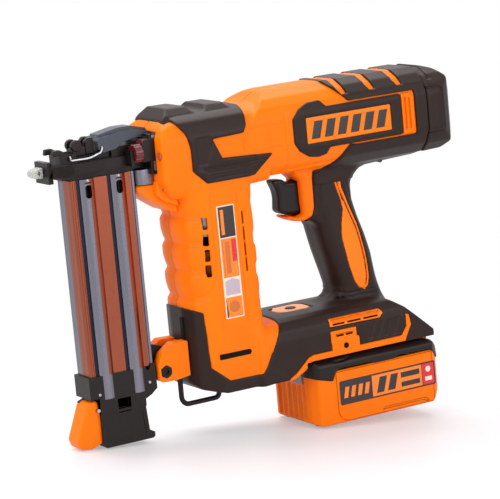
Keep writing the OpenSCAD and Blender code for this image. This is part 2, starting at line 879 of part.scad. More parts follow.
module nose_screw_shapes(shank, head) {
    for (z = [axis_z - 6.5, axis_z + 8.5]) {
        rod_x(nose_back - 5, nose_back + 12, 13.8, z, shank);
        if (head > 0) rod_x(nose_back - 7.5, nose_back - 4, 13.8, z, head);
    }
}

module nose_screws() {
    color("silver") nose_screw_shapes(1.7, 3);
}

module jam_door() {
    color("#3b3b40") difference() {
        union() {
            block([hinge_x, door_x1], [-6.6, 6.6], [door_z0, door_z0 + 3.4]);
            block([hinge_x + 6, door_x1], [-1.6, 1.6], [door_z0 - 1, door_z0 + over]);
            rod_y(hinge_x, -6.6, 6.6, hinge_z, 3.2);
            rod_y(hinge_x, -nose_half, nose_half, hinge_z, 1.5);
            block([latch_x - 4, latch_x + 4], [-3.6, 3.6], [door_z0 + 3, latch_z + 3]);
        }
        rod_y(latch_x, -5, 5, latch_z, 1.5 + fit);
    }
}

module jam_latch() {
    color("#2a2424") {
        for (side = [-1, 1])
            along_y(min(side * 4, side * 6.4), max(side * 4, side * 6.4)) polygon([
                [latch_x - 4, latch_z - 3], [latch_x - 3, latch_z + 6.5], [latch_x + 14, latch_z + 9],
                [latch_x + 22, latch_z + 8], [latch_x + 20, latch_z + 1.5], [latch_x + 4, latch_z - 2.5]
            ]);
        along_y(-10, 10) polygon([
            [latch_x - 3, latch_z + 6], [latch_x - 3, latch_z + 7.2], [latch_x + 14, latch_z + 10],
            [latch_x + 22, latch_z + 10], [latch_x + 34, latch_z + 5.5], [latch_x + 34, latch_z + 3],
            [latch_x + 20, latch_z + 7], [latch_x + 4, latch_z + 6]
        ]);
        rod_y(latch_x, -6.4, 6.4, latch_z, 1.5);
    }
}

module latch_wire() {
    color("silver") for (side = [-1, 1]) {
        y = side * (nose_half + 2.3);
        y_end = side * (nose_half + 0.3);
        rod_y(latch_x - 3, min(y, side * 6.6), max(y, side * 6.6), nose_z1 + 2, 0.9);
        hull() {
            translate([latch_x - 3, y, nose_z1 + 2]) sphere(r = 0.9, $fn = 16);
            translate([hook_x - 3, y, hook_z]) sphere(r = 0.9, $fn = 16);
        }
        rod_y(hook_x - 3, min(y, y_end), max(y, y_end), hook_z, 0.9);
    }
}

module contact_arm() {
    color("#3b3b40") {
        difference() {
            block([foot_x, foot_x + foot_t], [arm_y0, 9], [axis_z - 10, axis_z + 6]);
            rod_x(foot_x - over, foot_x + foot_t + over, 0, axis_z, 3);
        }
        block([foot_x, contact_x0], [arm_y0, arm_y0 + 2], [axis_z - 6, axis_z + 2]);
        block([contact_x0 - 2.5, contact_x0], [contact_y - 3, arm_y0 + 2], [axis_z - 6, axis_z + 6]);
        rod_x(contact_x0 - 0.5, contact_x1, contact_y, contact_z, 2.5);
    }
}

module contact_spring() {
    color("silver") translate([contact_x1 + 0.2, contact_y, contact_z]) rotate([0, 90, 0])
        coil(3, 0.55, spring_x1 - contact_x1 - 0.5, 8);
}

module no_mar_tip() {
    color("#e8e4da") difference() {
        block([-nose_reach, foot_x], [-6, 6], [axis_z - 7, axis_z + 5]);
        rod_x(-nose_reach - over, foot_x + over, 0, axis_z, 3);
    }
}

module depth_wheel() {
    color("#5a2020") difference() {
        rod_x(contact_x0 + 0.5, contact_x0 + 6.5, contact_y, contact_z, 7);
        rod_x(contact_x0 - over, contact_x0 + 8, contact_y, contact_z, 2.5 + fit);
        for (i = [0 : 11])
            translate([contact_x0, contact_y, contact_z]) rotate([i * 30, 0, 0]) translate([0, 0, 7.4])
                rotate([0, 90, 0]) cylinder(r = 1, h = 8);
    }
}

module led_lenses() {
    color("white") for (side = [-1, 1])
        rod_x(front_x - 0.8, front_x + wall, side * 26, axis_z - 1, 3);
}

// ---- Magazine ----

module magazine_rail() {
    color("#2c2c30") difference() {
        union() {
            block([brad_x0 - 1, brad_x1 + 1.2], [-rail_half_w, rail_half_w], [rail_bottom, rail_top]);
            block([brad_x0 + 6, brad_x0 + 16], [-3, 3], [rail_bottom - 16, rail_bottom + over]);
            along_y(-5, 5) polygon([
                [brad_x1, bolt_z + 23], [bolt_x + 6, bolt_z + 17], [bolt_x + 6, bolt_z - 7],
                [bolt_x - 6.5, bolt_z - 7], [bolt_x - 6.5, bolt_z + 11.5], [brad_x1, bolt_z + 11.5]
            ]);
        }
        block([brad_x0, brad_x1], [-0.8, 0.8], [rail_bottom - over, rail_top + over]);
        block([brad_x0 + 12, brad_x0 + 38], [-rail_half_w - over, -3], [rail_bottom + 6, rail_top - 3]);
        block([brad_x0 + 21, brad_x0 + 29], [-4, 0], [rail_bottom + 6, rail_top - 3]);
        block([brad_x0 + 5, brad_x0 + 17], [-0.81, 0.81], [rail_bottom - 20, rail_bottom]);
        rod_y(bolt_x, -6, 6, bolt_z, 2.5 + fit);
    }
}

module cover_profile() {
    difference() {
        union() {
            translate([mag_x0, -magazine_w / 2]) square([mag_x1 - mag_x0, magazine_w]);
            for (x = mag_rib_x)
                for (side = [-1, 1])
                    translate([x, side * (magazine_w / 2 + mag_rib_proud - mag_rib_r)]) circle(r = mag_rib_r);
        }
        translate([brad_x0 - 1 - clear, -magazine_w / 2 + 1.7])
            square([mag_x1 - brad_x0 + 10, magazine_w - 3.4]);
    }
}

module magazine_cover() {
    color("silver") difference() {
        translate([0, 0, cover_bottom]) linear_extrude(height = rail_top - 1 - cover_bottom) cover_profile();
        for (side = [-1, 1])
            for (x = mag_rib_x)
                block([x - 2.5, x + 2.5], [side * magazine_w / 2 - 3, side * magazine_w / 2 + 3],
                      [rail_top - 15.5, rail_top - 5.5]);
    }
}

module magazine_end_cap() {
    half = magazine_w / 2 + 2;
    color("#2a2424") difference() {
        union() {
            block([mag_x0 - 1.5, mag_x1 + 1.5], [-half, half], [cover_bottom - 18, cover_bottom]);
            along_y(-half + 0.5, half - 0.5) polygon([
                [mag_x0, cover_bottom - 17], [mag_x1 - 8, cover_bottom - 17], [mag_x1 - 10, cap_bottom + 8],
                [mag_x1 - 6, cap_bottom + 6], [mag_x1 - 6, cap_bottom], [mag_x0 + 3, cap_bottom],
                [mag_x0, cap_bottom + 3]
            ]);
        }
        block([brad_x0 + 5, brad_x0 + 17], [-3.6, 3.6], [rail_bottom - 17, cover_bottom + over]);
        block([mag_x0 - 2, lever_x + 4], [-magazine_w / 2 + 1.6, magazine_w / 2 - 1.6],
              [cap_bottom - over, lever_z + 7]);
        block([mag_x0 + 24, mag_x0 + 36], [-half - over, -half + 5],
              [cover_bottom - 32, cover_bottom - 22]);
        rod_y(lever_x, -half - over, half + over, lever_z, 1.5 + fit);
    }
}

module magazine_latch() {
    half = magazine_w / 2 - 2;
    color("darkorange") {
        along_y(-half, half) polygon([
            [lever_x - 3, lever_z + 5], [lever_x - 9, lever_z + 3], [lever_x - 14, lever_z - 12],
            [lever_x - 13, lever_z - 24], [lever_x - 3, lever_z - 27], [lever_x, lever_z - 20],
            [lever_x + 1, lever_z + 3]
        ]);
        rod_y(lever_x, -half - 3.2, half + 3.2, lever_z, 1.5);
    }
}

pusher_top = rail_top - 6;
pusher_h = 20;

module pusher() {
    color("gray") {
        block([brad_x0 + 0.4, brad_x1 - 0.4], [-0.5, 0.5], [pusher_top - pusher_h, pusher_top]);
        block([brad_x0 + 13, brad_x0 + 37], [-rail_half_w + 0.2, -3.3],
              [pusher_top - pusher_h, pusher_top - 6]);
        block([brad_x0 + 22, brad_x0 + 28], [-4, 0], [pusher_top - pusher_h, pusher_top - 6]);
    }
}

module pusher_spring() {
    y = -rail_half_w / 2 - 1.5;
    color("silver") difference() {
        union() {
            rod_x(brad_x0 + 19, brad_x0 + 31, y, rail_top - 6.5, 2.6);
            block([brad_x0 + 20, brad_x0 + 30], [y - 0.1, y + 0.1], [pusher_top - 5.9, rail_top - 6.5]);
        }
        rod_x(brad_x0 + 18, brad_x0 + 32, y, rail_top - 6.5, 1.6);
    }
}

module magazine_bracket() {
    color("darkorange") difference() {
        union() {
            for (side = [-1, 1])
                along_y(min(side * 5.4, side * 15), max(side * 5.4, side * 15)) polygon([
                    [bolt_x - 6, bolt_z - 6], [bolt_x - 6, bolt_z + 8], [bolt_x + 2, bolt_z + 16],
                    [bolt_x + 12, bolt_z + 20], [column_x - column_l / 2 - 1.5, bolt_z + 20],
                    [column_x - column_l / 2 - 1.5, bolt_z - 8], [bolt_x - 4, bolt_z - 8]
                ]);
            block([bolt_x + 9, column_x - column_l / 2 - 1.5], [-15, 15], [bolt_z - 8, bolt_z + 20]);
        }
        rod_y(bolt_x, -16, 16, bolt_z, 2.5 + fit);
        rod_y(bolt_x, -15 - over, -12.5, bolt_z, 4.6);
        rod_y(bolt_x, 12.5, 15 + over, bolt_z, 4.6);
    }
}

module bracket_bolt() {
    color("dimgray") difference() {
        union() {
            rod_y(bolt_x, -12.5, 15.2, bolt_z, 2.5);
            rod_y(bolt_x, -14.8, -12.5, bolt_z, 4.4);
            translate([bolt_x, 15, bolt_z]) rotate([90, 0, 0]) cylinder(r = 4.5, h = 2.5, $fn = 6);
        }
        translate([bolt_x, -13.2, bolt_z]) rotate([90, 0, 0]) cylinder(r = 2.3, h = 3, $fn = 6);
    }
}

loop_low = column_bottom - 9; // the wire's lowest run, under the column

// Bent wire under the column, as [x, z] corners
loop_path = [
    [column_x - column_l / 2 - 8, bolt_z - 8], [column_x - column_l / 2 - 8, loop_low + 4],
    [column_x - column_l / 2 - 4, loop_low], [column_x - 4, loop_low], [column_x - 4, column_bottom]
];

module rest_loop() {
    wire_r = 2;
    color("#2c2c30") for (i = [0 : len(loop_path) - 2]) {
        a = loop_path[i];
        b = loop_path[i + 1];
        d = norm(b - a);
        translate([a[0], -8, a[1]]) rotate([0, atan2(b[0] - a[0], b[1] - a[1]), 0]) cylinder(r = wire_r, h = d);
        if (i > 0) translate([a[0], -8, a[1]]) sphere(r = wire_r);
    }
}

// ---- Trigger ----

module trigger() {
    color("#2a2424") {
        along_y(-trigger_half, trigger_half) polygon([
            [trigger_x0 + 1, trigger_z1 - 0.5], [trigger_x1 - 8, trigger_z1 - 0.5],
            [trigger_x1 - 4, trigger_z1 - 4], [trigger_x1 - 4, trigger_z0 + 4],
            [trigger_x1 - 8, trigger_z0], [trigger_x0 + 5, trigger_z0],
            [trigger_x0, trigger_z0 + 4], [trigger_x0 + 3, trigger_z0 + 13]
        ]);
        block([trigger_x1 - 5, trigger_x1], [-4, 4], [trigger_z0 + 8, trigger_z0 + 20]);
    }
}

module trigger_spring() {
    color("silver") translate([trigger_x1 + 0.2, 0, trigger_z0 + 14]) rotate([0, 90, 0])
        coil(2.8, 0.45, switch_x - trigger_x1 - 0.5, 5);
}

module trigger_switch() {
    color("#202020") block([switch_x, switch_x + 22], [-grip_w / 2 + wall + 0.3, grip_w / 2 - wall - 0.3],
                           [trigger_z0 + 3, trigger_z1 - 4]);
}

housing_left();
housing_right();
front_overmold();
rear_overmold();
rear_cap();
grip_overmold();
boot_overmold();
base_overmold();
name_plates();
mode_panel();
mode_button();
housing_screws();
control_board();
terminal_block();
battery_case();
battery_top();
battery_cells();
battery_board();
battery_button();
battery_button_spring();
color("silver") cylinder_tube();  // cylinder
gas_chamber();
piston();
piston_seal();
driver_blade();
bumper();
lifter_wheel();
ball_bearings();
gear_case();
stator();
rotor();
motor_shaft();
cooling_fan();
ring_gear();
planet_gear_1();
planet_gear_2();
planet_gear_3();
planet_carrier();
nosepiece();
nose_screws();
jam_door();
jam_latch();
latch_wire();
contact_arm();
contact_spring();
no_mar_tip();
depth_wheel();
led_lenses();
magazine_rail();
magazine_cover();
magazine_end_cap();
magazine_latch();
pusher();
pusher_spring();
magazine_bracket();
bracket_bolt();
rest_loop();
trigger();
trigger_spring();
trigger_switch();
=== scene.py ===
import math
import bmesh
import bpy
import numpy as np
from mathutils import Matrix, Vector


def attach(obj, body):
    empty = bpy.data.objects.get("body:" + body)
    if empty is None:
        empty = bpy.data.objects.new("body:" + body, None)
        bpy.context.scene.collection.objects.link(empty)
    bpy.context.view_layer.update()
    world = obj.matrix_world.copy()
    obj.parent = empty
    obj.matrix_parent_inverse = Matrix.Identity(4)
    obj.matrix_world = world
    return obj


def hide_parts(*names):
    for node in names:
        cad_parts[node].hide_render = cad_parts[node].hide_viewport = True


# A cordless brad nailer. The moulded shells, soft overmoulding and battery are shaped as clay on a
# fine grid and skinned; crisp plates, castings and pressings are cut from outlines. Sizes are in
# millimetres until a mesh is made. X runs towards the rear cap, Y across the tool, Z up.

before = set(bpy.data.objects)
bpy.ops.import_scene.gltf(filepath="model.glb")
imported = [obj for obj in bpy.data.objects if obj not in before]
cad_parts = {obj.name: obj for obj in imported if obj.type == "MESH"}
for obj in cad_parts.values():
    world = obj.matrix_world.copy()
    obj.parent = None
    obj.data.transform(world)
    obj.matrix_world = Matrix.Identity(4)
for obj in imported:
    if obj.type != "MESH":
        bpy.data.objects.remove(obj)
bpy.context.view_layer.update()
MM = 0.001
PITCH = 0.8      # grid pitch of the shells' and battery's clay
FINE_PITCH = 0.4 # grid pitch of the trigger's clay
WALL = 2.6                              # wall of the moulded shell
scene = bpy.context.scene
scene.view_settings.view_transform = "Standard"


# ---------------- clay shapes

class Clay:
    """A block of space in which solids are signed distances, negative inside."""

    def __init__(self, low, high, pitch):
        self.low, self.pitch = np.array(low, float), pitch
        count = [int(math.ceil((b - a) / pitch)) + 1 for a, b in zip(low, high)]
        line = [low[k] + pitch * np.arange(count[k], dtype=np.float32) for k in range(3)]
        self.x = line[0].reshape(-1, 1, 1)
        self.y = line[1].reshape(1, -1, 1)
        self.z = line[2].reshape(1, 1, -1)


def side(points, soft=0.0):
    """An outline seen from the side, through the whole width of the clay in hand."""
    return soften(outline(X, Z, points), soft / clay.pitch)


def across(points, soft=0.0):
    """An outline seen along the barrel, the same on both sides of the middle."""
    return soften(outline(Y, Z, points + [(-y, z) for y, z in reversed(points)]), soft / clay.pitch)


def plan(points, soft=0.0):
    """An outline seen from above, the same on both sides of the middle."""
    return soften(outline(X, Y, points + [(x, -y) for x, y in reversed(points)]), soft / clay.pitch)


def within(x=None, y=None, z=None):
    """A block between limits."""
    shape = None
    for line, limits in ((X, x), (Y, y), (Z, z)):
        if limits is not None:
            d = np.maximum(limits[0] - line, line - limits[1])
            shape = d if shape is None else np.maximum(shape, d)
    return shape


def outline(u, v, points):
    """Signed distance to a closed outline."""
    nearest, inside = np.float32(1e9), False
    for (au, av), (bu, bv) in zip(points, points[1:] + points[:1]):
        eu, ev = bu - au, bv - av
        wu, wv = u - au, v - av
        t = np.clip((wu * eu + wv * ev) / (eu * eu + ev * ev + 1e-9), 0, 1)
        nearest = np.minimum(nearest, (wu - eu * t) ** 2 + (wv - ev * t) ** 2)
        if abs(ev) > 1e-9:
            inside = inside ^ (((av > v) != (bv > v)) & (wu < eu * wv / ev))
    return (np.where(inside, -1, 1) * np.sqrt(nearest)).astype(np.float32)


def soften(shape, cells):
    """Rounds corners to about that many grid cells."""
    for _ in range(int(round(cells * cells / 2))):
        for axis in range(3):
            if shape.shape[axis] > 1:
                wide = np.pad(shape, [(1, 1) if k == axis else (0, 0) for k in range(3)], mode="edge")
                ahead = [slice(2, None) if k == axis else slice(None) for k in range(3)]
                behind = [slice(0, -2) if k == axis else slice(None) for k in range(3)]
                shape = 0.5 * shape + 0.25 * (wide[tuple(ahead)] + wide[tuple(behind)])
    return shape


def join(a, b, blend=0.0):
    if blend <= 0:
        return np.minimum(a, b)
    h = np.clip(0.5 + 0.5 * (b - a) / blend, 0, 1)
    return b + (a - b) * h - blend * h * (1 - h)


def both(a, b, blend=0.0):
    return -join(-a, -b, blend)


def cut(a, b, blend=0.0):
    return both(a, -b, blend)


def skinned(shape):
    """Points and four-sided faces of the surface where the clay's distance is zero."""
    f = np.pad(np.broadcast_to(shape, (clay.x.size, clay.y.size, clay.z.size)), 1, constant_values=5.0)
    size, owners, places, rings = f.shape, [], [], []
    for axis in range(3):
        near = f[tuple(slice(0, -1) if k == axis else slice(None) for k in range(3))]
        far = f[tuple(slice(1, None) if k == axis else slice(None) for k in range(3))]
        hit = np.argwhere((near < 0) != (far < 0))
        a, b = near[tuple(hit.T)], far[tuple(hit.T)]
        place = hit.astype(np.float64)
        place[:, axis] += a / (a - b)
        u, w = (axis + 1) % 3, (axis + 2) % 3
        ring = []
        for du, dw in ((0, 0), (-1, 0), (-1, -1), (0, -1)):
            cell = hit.copy()
            cell[:, u] += du
            cell[:, w] += dw
            ring.append(np.ravel_multi_index(cell.T, size))
            owners.append(ring[-1])
            places.append(place)
        ring = np.stack(ring, 1)
        ring[a > 0] = ring[a > 0][:, ::-1]
        rings.append(ring)
    cells, index = np.unique(np.concatenate(owners), return_inverse=True)
    places, count = np.concatenate(places), np.bincount(index)
    points = np.stack([np.bincount(index, places[:, k]) / count for k in range(3)], 1)
    faces = np.searchsorted(cells, np.concatenate(rings))
    return clay.low + (points - 1) * clay.pitch, faces


# ---------------- making pieces

def new_piece(name, mesh, coat, body, stands_for, slot):
    """A piece that rides on a body; its slot is worked out but not used."""
    slot = slot or usual_slot.get(coat.name)
    piece = bpy.data.objects.new(name, mesh)
    scene.collection.objects.link(piece)
    mesh.materials.clear()
    mesh.materials.append(coat)
    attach(piece, body)
    if stands_for:
        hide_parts(*stands_for)
    return piece


def moulded(name, shape, coat, body="root", stands_for=(), most=60000, slot=None):
    """A piece skinned from clay, thinned where it is flat."""
    points, faces = skinned(shape)
    mesh = bpy.data.meshes.new(name)
    mesh.vertices.add(len(points))
    mesh.vertices.foreach_set("co", (points * MM).astype(np.float32).ravel())
    mesh.loops.add(faces.size)
    mesh.loops.foreach_set("vertex_index", faces.astype(np.int32).ravel())
    mesh.polygons.add(len(faces))
    mesh.polygons.foreach_set("loop_start", np.arange(0, faces.size, 4, dtype=np.int32))
    mesh.update(calc_edges=True)
    mesh.validate()
    piece = new_piece(name, mesh, coat, body, stands_for, slot)
    if 2 * len(faces) > most:
        thin = piece.modifiers.new("thin", "DECIMATE")
        thin.ratio = most / (2 * len(faces))
        settle(piece)
    smooth(piece)
    return piece


def settle(piece):
    """Makes the modifiers' result the piece's own mesh."""
    bpy.context.view_layer.update()
    mesh = bpy.data.meshes.new_from_object(piece.evaluated_get(bpy.context.evaluated_depsgraph_get()))
    piece.modifiers.clear()
    piece.data = mesh


def smooth(piece):
    piece.data.polygons.foreach_set("use_smooth", [True] * len(piece.data.polygons))
    weighted = piece.modifiers.new("even shading", "WEIGHTED_NORMAL")
    weighted.keep_sharp = True


def cut_from(name, outlines, coat, body="root", stands_for=(), bevel=0.4, steps=2, slot=None):
    """A crisp piece made of outlines, each run between two levels along an axis."""
    shape = bmesh.new()
    for axis, low, high, points in outlines:
        ends = []
        for level in (low, high):
            ring = []
            for u, v in points:
                place = {"x": (level, u, v), "y": (u, level, v), "z": (u, v, level)}[axis]
                ring.append(shape.verts.new(Vector(place) * MM))
            ends.append(ring)
        shape.faces.new(list(reversed(ends[0])))
        shape.faces.new(ends[1])
        for k in range(len(points)):
            n = (k + 1) % len(points)
            shape.faces.new((ends[0][k], ends[0][n], ends[1][n], ends[1][k]))
    bmesh.ops.recalc_face_normals(shape, faces=shape.faces)
    mesh = bpy.data.meshes.new(name)
    shape.to_mesh(mesh)
    shape.free()
    piece = new_piece(name, mesh, coat, body, stands_for, slot)
    if bevel:
        soft_edge(piece, bevel, steps)
    return piece


def soft_edge(piece, width, steps=2):
    edge = piece.modifiers.new("soft edge", "BEVEL")
    edge.width = width * MM
    edge.segments = steps
    edge.limit_method = "ANGLE"
    edge.angle_limit = math.radians(28)
    edge.use_clamp_overlap = True
    smooth(piece)


def pierced(piece, runs):
    """Cuts outlines, each run between two levels along an axis, out of a piece."""
    cutter = cut_from("cutter", runs, black_nylon, bevel=0)
    edges = [m.width / MM for m in piece.modifiers if m.type == "BEVEL"]
    piece.modifiers.clear()
    away = piece.modifiers.new("cut", "BOOLEAN")
    away.object, away.solver, away.use_self = cutter, "EXACT", True
    settle(piece)
    bpy.data.objects.remove(cutter)
    for width in edges:
        soft_edge(piece, width)


def recoat(piece, coat, where):
    """Gives a second finish to the faces whose middle, in mm, is in a zone."""
    piece.data.materials.append(coat)
    slot = len(piece.data.materials) - 1
    for face in piece.data.polygons:
        if where(face.center / MM):
            face.material_index = slot


def twins(inner, outer, *outlines):
    """Runs of outlines seen from the side, alike on both sides of the middle."""
    return [("y", low, high, points) for points in outlines
        for low, high in ((-outer, -inner), (inner, outer))]


def plates(name, outlines, coat, outer, inner, body="root"):
    """Thin plates or printed films on both sides, between two distances from the middle."""
    return cut_from(name, twins(inner, outer, *outlines), coat, body, bevel=0.15, steps=1)


def round_points(u, v, radius, count=32, start=0.0, turn=360.0):
    return [(u + radius * math.cos(math.radians(start + turn * k / count)),
        v + radius * math.sin(math.radians(start + turn * k / count))) for k in range(count)]


def box_points(u0, u1, v0, v1):
    return [(u0, v0), (u1, v0), (u1, v1), (u0, v1)]


def slanted(u, v, wide, high, lean):
    """A bar that leans over, from its lower left corner."""
    return [(u, v), (u + wide, v), (u + wide + lean, v + high), (u + lean, v + high)]


def bent_wire(name, points, radius, coat, body="root", stands_for=(), bend=2.0, slot=None):
    """Round wire along a path, with its corners bent to a radius."""
    path, places = [], [Vector(p) for p in points]
    for k, place in enumerate(places):
        if k in (0, len(places) - 1):
            path.append(place)
            continue
        before, after = places[k - 1] - place, places[k + 1] - place
        reach = min(bend, before.length / 2.2, after.length / 2.2)
        start, end = place + before.normalized() * reach, place + after.normalized() * reach
        for step in range(7):
            t = step / 6
            path.append(start * (1 - t) ** 2 + place * 2 * t * (1 - t) + end * t * t)
    curve = bpy.data.curves.new(name, "CURVE")
    curve.dimensions = "3D"
    curve.bevel_depth = radius * MM
    curve.bevel_resolution = 4
    curve.use_fill_caps = True
    line = curve.splines.new("POLY")
    line.points.add(len(path) - 1)
    for point, place in zip(line.points, path):
        point.co = (*(place * MM), 1)
    holder = bpy.data.objects.new(name, curve)
    scene.collection.objects.link(holder)
    bpy.context.view_layer.update()
    mesh = bpy.data.meshes.new_from_object(holder.evaluated_get(bpy.context.evaluated_depsgraph_get()))
    bpy.data.objects.remove(holder)
    piece = new_piece(name, mesh, coat, body, stands_for, slot)
    smooth(piece)
    return piece


# ---------------- finishes

def linear(code):
    """A colour written as sRGB hex, in linear light."""
    parts = [int(code[k:k + 2], 16) / 255 for k in (1, 3, 5)]
    return tuple(c / 12.92 if c <= 0.04045 else ((c + 0.055) / 1.055) ** 2.4 for c in parts) + (1.0,)


def add(tree, kind, settings=(), **links):
    """Adds a node, with its settings and what feeds its inputs."""
    node = tree.nodes.new("ShaderNode" + kind)
    for key, value in dict(settings).items():
        if hasattr(node, key):
            setattr(node, key, value)
        else:
            node.inputs[key].default_value = value
    for key, source in links.items():
        socket = node.inputs[int(key[1:])] if key[1:].isdigit() else node.inputs[key.replace("_", " ")]
        tree.links.new(source, socket)
    return node


def finish(name, colour, rough, metal=0.0, grain=0.5, depth=0.04, vary=0.08, second=None,
           brushed=None, rough_vary=0.08, extra=()):
    """A solid finish: grain in mm sets the bump's size and depth its height in mm."""
    material = bpy.data.materials.new(name)
    material.use_nodes = True
    tree = material.node_tree
    shader = tree.nodes["Principled BSDF"]
    shader.inputs["Metallic"].default_value = metal
    for key, value in dict(extra).items():
        shader.inputs[key].default_value = value
    place = add(tree, "TexCoord").outputs["Object"]
    if brushed:
        place = add(tree, "Mapping", {"Scale": brushed}, i0=place).outputs[0]
    cloud = add(tree, "TexNoise", {"Scale": 1 / (14 * MM), "Detail": 3.0}, Vector=place)
    fine = add(tree, "TexNoise", {"Scale": 1 / (grain * MM), "Detail": 2.0, "Roughness": 0.6}, Vector=place)
    blend = add(tree, "Mix", {"data_type": "RGBA"}, i0=cloud.outputs["Fac"])
    dark = linear(colour)
    other = linear(second) if second else tuple(min(1, c * (1 + vary)) for c in dark[:3]) + (1.0,)
    blend.inputs[6].default_value = tuple(c * (1 - vary) for c in dark[:3]) + (1.0,)
    blend.inputs[7].default_value = other
    tree.links.new(blend.outputs[2], shader.inputs["Base Color"])
    spread = add(tree, "MapRange",
        {"From Min": 0.3, "From Max": 0.7, "To Min": rough - rough_vary, "To Max": rough + rough_vary},
        Value=fine.outputs["Fac"])
    tree.links.new(spread.outputs[0], shader.inputs["Roughness"])
    bump = add(tree, "Bump", {"Strength": 1.0, "Distance": depth * MM}, Height=fine.outputs["Fac"])
    tree.links.new(bump.outputs[0], shader.inputs["Normal"])
    return material


def film(name, colour, vary=0.06, rough=0.34):
    """Ink printed on a smooth film: even colour with a low gloss."""
    return finish("printed_film_" + name, colour, rough, grain=1.2, depth=0.01, vary=vary)


# glass-filled nylon, moulded in a spark-eroded tool: strong orange with a fine satin pebble
orange_nylon = finish("orange_nylon_moulded", "#F97405", 0.42, grain=0.55, depth=0.035, vary=0.05,
    extra={"Specular IOR Level": 0.12})
# the same nylon off a polished insert, so the trims shine a little more
orange_polished = finish("orange_nylon_polished", "#FA7A04", 0.3, grain=0.9, depth=0.015, vary=0.04,
    extra={"Specular IOR Level": 0.25})
# the mode plate's nylon: paler, so that it stands out from the rubber round it
orange_pale = finish("orange_nylon_pale", "#F9A45A", 0.35, grain=0.6, depth=0.02, vary=0.04)
# thermoplastic rubber moulded over the shell: warm near-black, greying where light grazes it
soft_rubber = finish("soft_rubber_overmould", "#251713", 0.44, grain=0.7, depth=0.05, vary=0.12,
    extra={"Specular IOR Level": 0.2, "Sheen Weight": 0.02, "Sheen Roughness": 0.5})
# hard black nylon of the magazine foot, trigger and battery shoulders: smoother than the rubber
black_nylon = finish("black_nylon_moulded", "#17100F", 0.4, grain=0.5, depth=0.03, vary=0.1,
    extra={"Specular IOR Level": 0.25})
# painted shade: dark sheets laid over slots and holes where the openings lie in shadow, flat and almost black
recess_shade = finish("painted_recess_shade", "#0B0908", 0.6, grain=0.6, depth=0.02, extra={"Specular IOR Level": 0.1})
# investment-cast steel with a black oxide skin, slightly warm and unevenly worn
black_steel = finish("black_oxide_steel", "#1C1716", 0.36, metal=0.55, grain=0.8, depth=0.03, vary=0.15,
    second="#2B2323", extra={"Specular IOR Level": 0.3})
# painted steel of the release cover: blue-grey where the light falls on it
slate_steel = finish("slate_painted_steel", "#3A3F49", 0.36, metal=0.35, grain=0.8, depth=0.02, vary=0.1)
# extruded aluminium, clear anodised: die lines run up the length and stretch the highlights
bare_aluminium = finish("anodised_aluminium", "#797883", 0.3, metal=1.0, grain=0.35, depth=0.02, vary=0.05,
    brushed=(1, 1, 0.03), rough_vary=0.06)
# the same extrusion's flats, coloured copper by a painted reflection of the orange shell
orange_reflection_aluminium = finish("aluminium_painted_orange_reflection", "#94503C", 0.33, metal=1.0, grain=0.35, depth=0.02,
    vary=0.05, brushed=(1, 1, 0.03), rough_vary=0.06)
# painted shade in the grooves beside the ribs, which sets them off: the aluminium darkened where the grooves
# lie in shadow
groove_shade_aluminium = finish("aluminium_painted_groove_shade", "#242430", 0.35, metal=0.85, grain=0.35, depth=0.02,
    brushed=(1, 1, 0.03))
# drawn spring steel wire: bright, with a thin hard highlight
bright_wire = finish("drawn_steel_wire", "#A9A9AE", 0.25, metal=1.0, grain=0.4, depth=0.01, vary=0.05)
# ground tool steel and bearing rings inside: clean grey with a fine grain
ground_steel = finish("ground_tool_steel", "#9A9A9F", 0.3, metal=1.0, grain=0.3, depth=0.01, vary=0.06)
# phosphated screws: dull dark grey
screw_steel = finish("phosphated_screw_steel", "#4A4A4E", 0.42, metal=0.9, grain=0.3, depth=0.015)
# turned aluminium of the air spring: pale, with rings left by the lathe
turned_aluminium = finish("turned_aluminium", "#C4C5C9", 0.28, metal=1.0, grain=0.5, depth=0.015, vary=0.04,
    brushed=(1, 0.05, 0.05))
# die-cast aluminium: matt, faintly cloudy
cast_aluminium = finish("die_cast_aluminium", "#9FA0A4", 0.5, metal=1.0, grain=0.8, depth=0.04, vary=0.1)
# soft plastic of the no-mar tip: milky, and light comes through its edges
milky_plastic = finish("milky_tip_plastic", "#C4C7BE", 0.3, grain=1.0, depth=0.02, vary=0.03,
    extra={"Transmission Weight": 0.35})
# lens over each lamp: hard gloss over a warm tint
clear_lens = finish("polycarbonate_lens", "#C9543A", 0.12, grain=1.2, depth=0.005, vary=0.05,
    extra={"Coat Weight": 0.6})
# window over the charge lamps: smoky, glossy and reddish
smoked_window = finish("smoked_gauge_window", "#5B3A3A", 0.12, grain=1.5, depth=0.01, vary=0.1,
    extra={"Coat Weight": 0.5})
# the depth wheel's dark red and the battery button's brighter one, both with a soft shine
dial_red = finish("dark_red_dial_nylon", "#5A1416", 0.35, grain=0.6, depth=0.02)
key_red = finish("red_release_nylon", "#8E1418", 0.35, grain=0.6, depth=0.02)
# green lacquer over copper tracks, faintly uneven
board_green = finish("solder_masked_board", "#1F6B45", 0.3, grain=1.5, depth=0.02, vary=0.15)
# film shrunk tight on the cells: glossy teal
cell_film = finish("cell_shrink_film", "#1C8C8E", 0.25, grain=3.0, depth=0.03, vary=0.05)
# varnished copper between steel laminations: brown, with a coarse glint
wound_copper = finish("varnished_winding_and_laminations", "#8A4A22", 0.35, metal=0.6, grain=0.6,
    depth=0.06, vary=0.2)
# nitrile of the seal and bumper: matt black
seal_rubber = finish("nitrile_rubber", "#1C1B1B", 0.6, grain=0.5, depth=0.03, vary=0.1)
# inks of the plates and labels
film_black = film("black", "#241C1C")
film_amber = film("amber", "#C9651A")
film_red = film("red", "#D2202A", 0.05, 0.32)
film_pale = film("pale", "#F3D9C4", 0.03)
film_orange = film("orange", "#F97E10", 0.04, 0.32)
film_lilac = film("lilac_grey", "#B9A9B4", 0.04)

